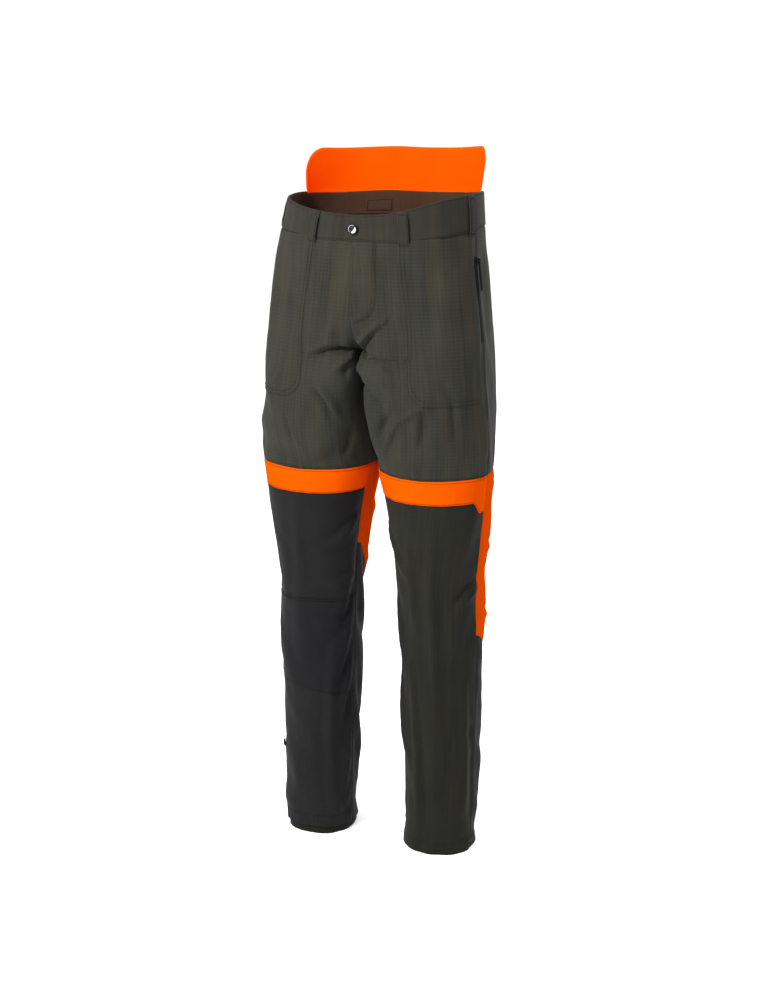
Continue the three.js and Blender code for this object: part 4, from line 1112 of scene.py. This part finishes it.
def quilting(u, z, x_mm, y_mm):
    """Sewn channels up the cut-protection pad."""
    return -0.9 * np.exp(-(((x_mm % 25 - 12.5) / 2.4) ** 2))


for side in SIDES:
    panel("cut_pad_thigh_" + side, side, (0.05, 0.45), (614, 758), PADDING, ("hip", side),
          ["cut_pad_thigh_" + side], thickness=4.2, lift=-5.6, step=5, fill=0.5,
          extra=quilting)
    panel("cut_pad_shin_" + side, side, (0.05, 0.45), (60, 408), PADDING, ("knee", side),
          ["cut_pad_shin_" + side],
          thickness=4.2, lift=-5.6, step=5, fill=0.5, extra=quilting)

# ------------------------------------------------------------------ kidney flap
FLAP_U0, FLAP_U1, FLAP_HEIGHT, FLAP_TUCK = 0.685, 1.372, 71, -4.0
FLAP_CORNERS = {"left": 30, "right": 48}


def flap_top(u):
    """Height of the flap above the waistband, with a rounder corner on the wearer's right."""
    scale = float(mm_per_u(1.0, float(WAIST_TOP)))
    top = np.full(np.shape(u), float(FLAP_HEIGHT))
    for end, sign, radius in ((FLAP_U0, 1, FLAP_CORNERS["left"]), (FLAP_U1, -1, FLAP_CORNERS["right"])):
        reach = radius - np.clip((u - end) * sign * scale, 0, radius)
        top = np.minimum(top, FLAP_HEIGHT - radius + np.sqrt(np.maximum(radius ** 2 - reach ** 2, 0)))
    return top


FLAP_STITCH_INSET = 5.0


def kidney_flap():
    columns, rows = 150, 20
    share = np.linspace(0, 1, columns)
    share = lerp(share, 0.5 - 0.5 * np.cos(np.pi * share), 0.7)
    t_line = np.concatenate([[0, 0.02, 0.04, 0.06, 0.085], np.linspace(0.12, 1, rows - 5)])
    u, t = np.meshgrid(lerp(FLAP_U0, FLAP_U1, share), t_line, indexing="ij")
    rise = lerp(FLAP_TUCK, flap_top(u), t)
    narrowed = 1 + (u - 1) * (1 + np.where(u < 1, -0.035, 0.03) * (1 - smooth(rise, 0, 55)))
    points = body(narrowed, np.full(u.shape, float(WAIST_TOP)))
    out = normal(narrowed, np.full(u.shape, WAIST_TOP - 1.0)) * (1, 1, 0)
    out /= np.linalg.norm(out, axis=-1, keepdims=True)
    points[..., 2] = waist_top(narrowed) + rise
    scale = float(mm_per_u(1.0, float(WAIST_TOP)))
    x_mm = (u - 1) * scale
    folds = 1.5 * np.sin(x_mm / 13 + 1.2 * np.sin(x_mm / 41)) + 1.1 * np.sin(x_mm / 31 + 1)
    to_edge = np.minimum(flap_top(u) - rise, np.minimum(u - FLAP_U0, FLAP_U1 - u) * scale)
    seam = -0.5 * np.exp(-(((to_edge - 5) / 1.3) ** 2))
    height = np.maximum(rise, 0) * 0.06 + folds * smooth(rise, 4,
                                                         50) * 0.9 + seam - 1.4 * (1 - smooth(rise, -1, 5))
    middle = points + out * height[..., None]
    uvs = np.stack([x_mm / 1000, rise / 1000], -1).reshape(-1, 2)
    half = np.minimum(lerp(0.45, 1.3, smooth(rise, 0, 4)), 0.35 + 0.5 * np.sqrt(np.maximum(to_edge, 0)))
    outer, inner = middle + out * half[..., None], middle - out * half[..., None]
    piece = closed_cloth("kidney_flap", middle, out, 2.6, ORANGE_FLAP_PAINTED_GLOW, uvs, False)
    piece.data.vertices.foreach_set("co", warp_ready(np.concatenate([outer.reshape(-1, 3),
                                                                     inner.reshape(-1, 3)])))
    piece.data.update()
    attach(piece, "flap root", ["kidney_flap"])
    inset = FLAP_STITCH_INSET
    du = inset / scale
    line_u = np.linspace(FLAP_U0 + du, FLAP_U1 - du, 160)
    top = flap_top(lerp(FLAP_U0, FLAP_U1, np.linspace(0, 1, 160))) - inset
    index_u = np.clip(np.searchsorted(u[:, 0], line_u), 1, columns - 1)
    share_t = np.interp((top - FLAP_TUCK) / (flap_top(line_u) - FLAP_TUCK), t_line, np.arange(rows))
    low = np.minimum(share_t.astype(int), rows - 2)
    f = (share_t - low)[:, None]
    g = ((line_u - u[index_u - 1, 0]) / (u[index_u, 0] - u[index_u - 1, 0]))[:, None]
    grid = middle + out * (half + 0.15)[..., None]
    line = lerp(lerp(grid[index_u - 1, low], grid[index_u - 1, low + 1], f),
                lerp(grid[index_u, low], grid[index_u, low + 1], f), g)
    add_row("flap_stitches", line, out[index_u, low], 3.2, 0.34)
    return piece


def warp_ready(points_mm):
    points = slump(np.asarray(points_mm, float)) / 1000
    points[:, 2] -= WAIST_TOP / 1000
    return points.ravel().astype(np.float32)


kidney_flap()

# ------------------------------------------------------------------ side zips
SIDE_ZIP_LOW, SIDE_ZIP_HIGH, SIDE_ZIP_WIDTH = 858, 992, 13
for side in SIDES:
    def strip_map(s, t):
        z = lerp(SIDE_ZIP_LOW, SIDE_ZIP_HIGH, t)
        return 0.5 + (s - 0.5) * SIDE_ZIP_WIDTH / mm_per_u(np.full(np.shape(z), 0.5), z), z

    panel("side_zip_" + side, side, None, None, TAPE, ("hip", side), ["side_zip_" + side],
          thickness=1.0,
          lift=0.9, map_uz=strip_map, step=3, dips=(0.2, 0.2, 0.2, 0.2))
    z = np.arange(SIDE_ZIP_LOW + 2, SIDE_ZIP_HIGH - 2, 1.7)
    half = 1.9 / mm_per_u(np.full(z.shape, 0.5), z)
    ends = np.stack([surface(side, 0.5 - half, z, 1.9), surface(side, 0.5 + half, z, 1.9)], 1)
    STITCH_ROWS.setdefault("side_coil_" + side, []).append((ends, side_normals(side, np.full(z.shape, 0.5),
                                                                               z), 3.8, 0.62))
    sew("side_coil_" + side, BLACK_METAL, ("hip", side))


# ------------------------------------------------------------------ fastenings
def lathe(name, profile, centre, axis, material, segments=48):
    """A turned part: profile is (radius, distance along the axis) in millimetres from the centre point."""
    axis = Vector(axis).normalized()
    side_way = axis.orthogonal().normalized()
    up = axis.cross(side_way)
    verts, faces = [], []
    for radius, depth in profile:
        for k in range(segments):
            turn = 2 * math.pi * k / segments
            round_it = math.cos(turn) * side_way + math.sin(turn) * up
            verts.append(Vector(centre) + axis * depth + radius * round_it)
    for ring in range(len(profile) - 1):
        for k in range(segments):
            a, b = ring * segments + k, ring * segments + (k + 1) % segments
            faces.append((a, b, b + segments, a + segments))
    mesh = bpy.data.meshes.new(name)
    mesh.from_pydata([tuple(v) for v in verts], [], faces)
    bm = bmesh.new()
    bm.from_mesh(mesh)
    bmesh.ops.remove_doubles(bm, verts=bm.verts, dist=1e-6)
    bmesh.ops.holes_fill(bm, edges=[e for e in bm.edges if len(e.link_faces) == 1], sides=0)
    bmesh.ops.recalc_face_normals(bm, faces=bm.faces)
    for face in bm.faces:
        face.smooth = True
    bm.to_mesh(mesh)
    bm.free()
    mesh.materials.append(material)
    piece = bpy.data.objects.new(name, mesh)
    bpy.context.scene.collection.objects.link(piece)
    return piece


def in_metres(profile):
    return [(max(r, 0) / 1000, d / 1000) for r, d in profile]


low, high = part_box("waist_button")
button_centre = Vector((0, low.y, (low.z + high.z) / 2))
cap = [(0, 2.4), (1.6, 2.3), (3.2, 2.0), (4.6, 1.5), (5.6, 0.9), (6.6, 0.6)]
# painted shade and painted highlight: the button's colour is darkened to near black wherever its surface
# turns away from the upper left, where the key light stands, leaving a bright crescent
tree = BUTTON_METAL.node_tree
where, facing_key_light = tree.nodes.new("ShaderNodeNewGeometry"), tree.nodes.new("ShaderNodeVectorMath")
facing_key_light.operation = "DOT_PRODUCT"
facing_key_light.inputs[1].default_value = (-0.85, 0, 0.55)
tree.links.new(where.outputs["Normal"], facing_key_light.inputs[0])
painted_shade = tree.nodes.new("ShaderNodeMapRange")
painted_shade.inputs["From Min"].default_value, painted_shade.inputs["From Max"].default_value = 0.06, 0.2
painted_shade.inputs["To Min"].default_value, painted_shade.inputs["To Max"].default_value = 0.02, 1
tree.links.new(facing_key_light.outputs["Value"], painted_shade.inputs["Value"])
tone = tree.nodes.new("ShaderNodeMix")
tone.data_type, tone.blend_type = "RGBA", "MULTIPLY"
tone.inputs["Factor"].default_value = 1
tree.links.new(tree.nodes["Principled BSDF"].inputs["Base Color"].links[0].from_socket, tone.inputs["A"])
tree.links.new(painted_shade.outputs[0], tone.inputs["B"])
tree.links.new(tone.outputs["Result"], tree.nodes["Principled BSDF"].inputs["Base Color"])
attach(lathe("waist_button_cap", in_metres(cap + [(6.6, 2.6), (0, 2.6)]), button_centre, (0, 1, 0),
             BUTTON_METAL),
       "waist_button", ["waist_button"])
rim = [(6.5, 2.9), (6.5, 0.9), (6.8, 0.35), (7.5, 0.05), (8.2, 0.3), (8.5, 1.0), (8.5, 2.3), (8.1, 2.9),
       (6.5, 3.1),
       (2.5, 3.1), (2.5, 9.0), (0, 9.0)]
attach(lathe("waist_button_rim", in_metres(rim), button_centre, (0, 1, 0), BLACK_METAL), "waist_button", ())

stud_axis = Vector((-0.9049, -0.42453, -0.03038))
low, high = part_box("hem_stud_right")
stud_centre = (low + high) / 2 - stud_axis * 0.0017
stud = [(0, 0), (6.4, 0), (7, 0.4), (7, 1.3), (6.5, 1.8), (5.2, 2.1), (4.9, 2.9), (4.2, 3.3), (2.6, 3.4),
        (2.2, 3.0),
        (0, 2.9)]
attach(lathe("hem_stud_right", in_metres(stud), stud_centre, stud_axis, BLACK_METAL, 36), "hem_stud_right",
       ["hem_stud_right"])


def plate(name, outline, depth, matrix, material, bevel=0.0003):
    """A flat part from an outline in its own XZ plane, thick along its own Y, with rounded edges; metres."""
    bm = bmesh.new()
    ring = [bm.verts.new((x, -depth / 2, z)) for x, z in outline]
    face = bm.faces.new(ring)
    moved = bmesh.ops.extrude_face_region(bm, geom=[face])["geom"]
    bmesh.ops.translate(bm, vec=(0, depth, 0), verts=[g for g in moved if isinstance(g, bmesh.types.BMVert)])
    bmesh.ops.recalc_face_normals(bm, faces=bm.faces)
    edges = [e for e in bm.edges if len(e.link_faces) == 2 and e.calc_face_angle(0) > 0.9]
    bmesh.ops.bevel(bm, geom=edges, offset=bevel, segments=2, affect="EDGES")
    mesh = bpy.data.meshes.new(name)
    bm.transform(matrix)
    bm.to_mesh(mesh)
    bm.free()
    mesh.polygons.foreach_set("use_smooth", [True] * len(mesh.polygons))
    mesh.materials.append(material)
    piece = bpy.data.objects.new(name, mesh)
    bpy.context.scene.collection.objects.link(piece)
    return piece


def joined(name, parts):
    """Several meshes as one piece."""
    bm = bmesh.new()
    for part in parts:
        bm.from_mesh(part.data)
    mesh = parts[0].data
    bm.to_mesh(mesh)
    bm.free()
    for part in parts[1:]:
        bpy.data.objects.remove(part)
    parts[0].name = name
    return parts[0]


def rounded(half_width, low, high, radius, steps=5):
    points = []
    for cx, cz, start in ((half_width - radius, high - radius, 0), (-half_width + radius, high - radius, 90),
                          (-half_width + radius, low + radius, 180),
                          (half_width - radius, low + radius, 270)):
        for k in range(steps + 1):
            turn = math.radians(start + 90 * k / steps)
            points.append((cx + radius * math.cos(turn), cz + radius * math.sin(turn)))
    return points


SLIDER_OUT, SLIDER_ACROSS = Vector((0.98247, -0.11762, 0.14459)), Vector((0.12782, 0.98977, -0.06336))
SLIDER_UP, SLIDER_AT = Vector((-0.13566, 0.08073, 0.98746)), Vector((0.172492, -0.034326, -0.102706))
for side, sign in (("left", 1), ("right", -1)):
    flip = Vector((sign, 1, 1))
    low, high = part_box("side_slider_" + side)
    axes = [(axis * flip) for axis in (SLIDER_ACROSS, SLIDER_OUT, SLIDER_UP)]
    at = (SLIDER_AT - SLIDER_OUT * 0.0018) * flip
    matrix = Matrix([[axes[c][r] for c in range(3)] + [at[r]] for r in range(3)] + [[0, 0, 0, 1]])
    shield = [(-0.0036, 0.0055), (-0.0018, 0.0046), (0, 0.0055), (0.0018, 0.0046), (0.0036, 0.0055),
              (0.004, 0.003),
              (0.003, -0.002), (0.0026, -0.0055), (-0.0026, -0.0055), (-0.003, -0.002), (-0.004, 0.003)]
    lower = plate("slider_a", shield, 0.0009, matrix @ Matrix.Translation((0, -0.0007, 0)), BLACK_METAL)
    upper = plate("slider_b", shield, 0.0009, matrix @ Matrix.Translation((0, 0.0009, 0)), BLACK_METAL)
    arch = [(-0.0035, 0), (-0.0035, 0.0016), (-0.0028, 0.0024), (0.0034, 0.0024), (0.0041, 0.0016),
            (0.0041, 0),
            (0.0033, 0), (0.0033, 0.0012), (0.0027, 0.0016), (-0.0024, 0.0016), (-0.0027, 0.0012),
            (-0.0027, 0)]
    turn = Matrix(((0, 1, 0, 0), (0, 0, 1, 0.0012), (1, 0, 0, 0), (0, 0, 0, 1)))
    bridge = plate("slider_c", arch, 0.0016, matrix @ turn, BLACK_METAL, 0.0002)
    attach(joined("side_slider_" + side, [lower, upper, bridge]), "side_slider_" + side,
           ["side_slider_" + side])
    hang = matrix @ Matrix.Translation((0, 0.0012, 0.003))
    tab = plate("pull_a", rounded(0.00325, -0.050, 0.0, 0.002), 0.0013, hang, PULL, 0.0004)
    grips = [plate("pull_grip", rounded(0.0022, -0.044 + k * 0.003, -0.0428 + k * 0.003, 0.0005, 2), 0.0018,
                   hang, PULL,
                   0.0002) for k in range(8)]
    attach(joined("side_pull_" + side, [tab] + grips), "side_pull_" + side, ["side_pull_" + side])

# ------------------------------------------------------------------ fly
panel("fly_facing", "left", None, None, GREEN, "seat", ["fly_facing"], thickness=1.0,
      lift=-2.6,
      map_uz=lambda s, t: (u_at_x(lerp(2, 40, s), lerp(901, 1004, t)), lerp(901, 1004, t)), displaced=1,
      dips=(0.3,) * 4)
low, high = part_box("fly_shield")
columns = np.linspace(low.x * 1000, high.x * 1000, 16)
s, t = np.meshgrid(columns, np.linspace(0, 1, 26), indexing="ij")
shield_points = np.stack([s, np.zeros_like(s), lerp(low.z * 1000, high.z * 1000, t) + WAIST_TOP], -1)
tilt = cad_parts["fly_shield"].data
co = np.array([v.co for v in tilt.vertices]) * 1000
top_y, bottom_y = co[co[:, 2] > co[:, 2].max() - 1][:, 1].mean(), co[co[:, 2] < co[:, 2].min() + 1][:,
                                                                                                    1].mean()
shield_points[..., 1] = lerp(bottom_y, top_y, t) + 0.5 * np.sin(s / 9)
out = np.zeros(shield_points.shape)
out[..., 1] = -1
uvs = np.stack([s / 1000, t * 0.1], -1).reshape(-1, 2)
piece = closed_cloth("fly_shield", shield_points, out, 1.2, GREEN, uvs, False)
attach(piece, "seat", ["fly_shield"])
zip_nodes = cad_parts["fly_zip_left"].data
co = np.array([v.co for v in zip_nodes.vertices]) * 1000
top_point = co[co[:, 2] > co[:, 2].max() - 1.5].mean(0)
bottom_point = co[co[:, 2] < co[:, 2].min() + 1.5].mean(0)
steps = np.linspace(0.02, 0.98, 46)
centre = lerp(bottom_point, top_point, steps[:, None])
centre[:, 0], centre[:, 2] = 0, centre[:, 2] + WAIST_TOP
for offset, shift in ((-1, 0.0), (1, 1.1)):
    a = centre + (offset * 3.4, -1.3, shift)
    b = centre + (-offset * 0.5, -1.3, shift)
    STITCH_ROWS.setdefault("fly_teeth", []).append((np.stack([a, b], 1), np.tile((0.0, -1.0, 0.0), (46, 1)),
                                                    3.9, 0.8))
sew("fly_teeth", METAL, "seat")
TAPE_HARD = hard("zip_tape_woven", linear(28, 28, 28), 0.8, scratches=0.05, scale=2500)
for name, material in (("fly_zip_left", TAPE_HARD), ("fly_zip_right", TAPE_HARD), ("fly_slider", METAL),
                       ("fly_pull", METAL), ("button_tack", METAL)):
    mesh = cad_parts[name].data
    mesh.materials.clear()
    mesh.materials.append(material)

# ------------------------------------------------------------------ stitching
def off(u, z, mm):
    """u moved by a distance along the cloth."""
    return u + mm / float(mm_per_u(min(max(u, 0.02), 0.98), float(z)))


for side in SIDES:
    hip_group, knee_group, thigh_group = (f"{n}_stitches_{side}" for n in ("hip", "knee", "band"))
    # side seam, one row each way, from the band to the zip
    for mm in (-3, 3):
        stitch(hip_group, side, [(off(0.5, z, mm), z) for z in np.arange(650, 856, 6)], 0.9)
        stitch(hip_group, side, [(off(0.5, z, mm * 2.8), z) for z in np.arange(858, 996, 6)], 1.0)
    for mm in (3, 8):
        stitch(hip_group, side, [(off(1.0, z, -mm), z) for z in np.arange(906, 1026, 6)], 0.9)
    stitch(hip_group, side, row(0.01, 0.49, BAND_TOP, 40, 3.2), 0.9)
    # pocket outline
    z = np.concatenate([np.linspace(POCKET_BOTTOM + 0.5, POCKET_BOTTOM + 44, 26), np.linspace(812, 1018, 28)])
    for inset in (2.4, 8.4):
        edge = u_at_x(pocket_edge_x(side, np.maximum(z - inset * 0.8, POCKET_BOTTOM + 0.2)) + inset * 0.9, z)
        keep = z > POCKET_BOTTOM + inset
        stitch(hip_group, side, list(zip(edge[keep], z[keep])), 2.2)
        start = float(edge[keep][0])
        stitch(hip_group, side, row(start, 0.468, POCKET_BOTTOM + inset, 20), 2.2)
    # band, upper and lower edge
    stitch(thigh_group, side, row(0.01, 0.49, BAND_TOP, 60, -2.6), 1.7, radius=0.4)
    stitch(thigh_group, side, [(u, float(band_bottom(np.array(u))) + 2.6) for u in np.linspace(0.01, 0.49,
                                                                                               80)], 1.7,
           radius=0.4)
    # leg side seam and inseam
    for mm in (-3.2,):
        stitch(knee_group, side, [(off(0.5, z, mm), z) for z in np.arange(4, 584, 7)], 0.9)
    stitch(knee_group, side, [(off(0.0, z, 3.2), z) for z in np.arange(4, 600, 7)], 0.9)
    hem_low = 0 if side == "left" else UNDER_HEM_DROP
    stitch(knee_group, side, row(0.01, 0.99, hem_low + 19, 80), 1.2)
    stitch("calf_stitches_" + side, side,
           [(u, float(calf_edge(np.array(u))) - 3) for u in np.linspace(0.51, 0.99, 60)],
           0.9)
for z_offset in (-3, -8):
    stitch("hip_stitches_left", "left",
           [(float(u_at_x(np.array(max(fly_line(np.array(z)) + z_offset + 3.5, 1.0)), z)), z)
            for z in np.concatenate([np.linspace(1014, FLY_TURN, 20),
                                     np.linspace(FLY_TURN, FLY_END + 1, 16)])], 2.1)
for mm in (3,):
    stitch("hip_stitches_left", "left", [(off(0.0, z, mm), z) for z in np.arange(902, 1014, 6)], 2.0)
for height, low_u in ((KNEE_SEAM, 3), (KNEE_SEAM, -3)):
    stitch("knee_stitches_right", "right", row(0.01, 0.49, height, 50, low_u), 1.2)
stitch("knee_stitches_right", "right",
       [(u, float(patch_bottom(np.array(u))) + 3) for u in np.linspace(0.01, 0.49, 50)],
       1.3)
for u0, u1, low, high in ((0.704, 0.856, 907, 984),):
    for inset in (0, 5):
        du = inset / 480
        stitch("seat_stitches", "right", [(u0 + du, high), (u0 + du, low + inset), (u1 - du, low + inset),
                                          (u1 - du, high)],
               2.5)
stitch("seat_stitches", "right", [(0.699, 1002), (0.699, 951), (0.861, 951), (0.861, 1002)], 4.5)
for side, u0, u1 in (("left", -lap_u + 0.006, 0.495), ("right", 0.04, 0.495), ("left", 0.505, 1.495)):
    for low_edge, height in ((True, 3.0), (False, 3.0)):
        u = np.linspace(u0, u1, 90)
        z = waist_seam(u) + height if low_edge else waist_top(u) - height
        add_row("waist_stitches", surface(side, u, z, 1.65 if side == "left" else 1.2, 0),
                side_normals(side, u, z),
                3.4, 0.32)
label_u0, label_u1 = label_u - label_half * 0.9, label_u + label_half * 0.9
corners = [(label_u0, label_top - 2), (label_u1, label_top - 2), (label_u1, label_top - LABEL_HEIGHT + 2),
           (label_u0, label_top - LABEL_HEIGHT + 2), (label_u0, label_top - 2)]
for (ua, za), (ub, zb) in zip(corners[:-1], corners[1:]):
    u, z = np.linspace(ua, ub, 12), np.linspace(za, zb, 12)
    add_row("label_stitches", surface("left", u, z, -4.3, 0), -side_normals("left", u, z), 2.4, 0.75, 0.95)
BUTTONHOLE_HEIGHT, BUTTONHOLE_HALF = 1035.5, 9.5
for share in np.linspace(-1, 1, 26):
    z = BUTTONHOLE_HEIGHT
    half = BUTTONHOLE_HALF
    line = np.array([[-3 + half * share - 0.01, float(body(0.0, z)[1]) - 1.6, z - 2.6],
                     [-3 + half * share, float(body(0.0, z)[1]) - 1.6, z - 1.2]])
    for sign in (1, -1):
        mirrored = line.copy()
        mirrored[:, 2] = z + sign * (line[:, 2] - z)
        STITCH_ROWS.setdefault("waist_stitches", []).append((mirrored[None], np.array([[0.0, -1.0, 0.0]]),
                                                             1.4, 0.3))

sew("waist_stitches", GREEN_THREAD, "seat")
sew("seat_stitches", GREEN_THREAD, "seat")
sew("label_stitches", RED_THREAD, "seat")
sew("flap_stitches", ORANGE_THREAD, "flap root")
for side in SIDES:
    sew("hip_stitches_" + side, GREEN_THREAD, ("hip", side))
    sew("band_stitches_" + side, BLACK_THREAD, "thigh_" + side)
    sew("knee_stitches_" + side, GREEN_THREAD if side == "left" else BLACK_THREAD, ("knee", side))
    sew("calf_stitches_" + side, BLACK_THREAD, ("knee", side))

# ------------------------------------------------------------------ floor and light
bpy.ops.mesh.primitive_plane_add(size=30, location=(0, 0, -1.0886))
floor = bpy.context.object
floor.name = "floor"
floor_material, _, _, floor_shader = new_material("floor")
floor_shader.inputs["Base Color"].default_value = (0.97, 0.97, 0.97, 1)
floor_shader.inputs["Roughness"].default_value = 0.9
floor_shader.inputs["Specular IOR Level"].default_value = 0.1
floor.data.materials.append(floor_material)
floor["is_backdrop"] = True

world = bpy.data.worlds.new("studio")
bpy.context.scene.world = world
world.use_nodes = True
world.node_tree.nodes["Background"].inputs["Color"].default_value = (1, 1, 1, 1)
world.node_tree.nodes["Background"].inputs["Strength"].default_value = 1.04


def area_light(name, location, target, size, energy):
    data = bpy.data.lights.new(name, "AREA")
    data.shape, data.size, data.energy = "DISK", size, energy
    light = bpy.data.objects.new(name, data)
    bpy.context.scene.collection.objects.link(light)
    light.location = location
    light.rotation_euler = (Vector(target) - Vector(location)).to_track_quat("-Z", "Y").to_euler()


area_light("key", (-0.7, -2.2, 1.3), (0, 0, -0.35), 0.5, 150)
area_light("fill", (2.3, -2.0, 0.4), (0, 0, -0.4), 1.8, 6)
area_light("back", (0.9, 2.0, 1.3), (0, 0, -0.3), 1.2, 60)

# ------------------------------------------------------------------ size
low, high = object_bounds()
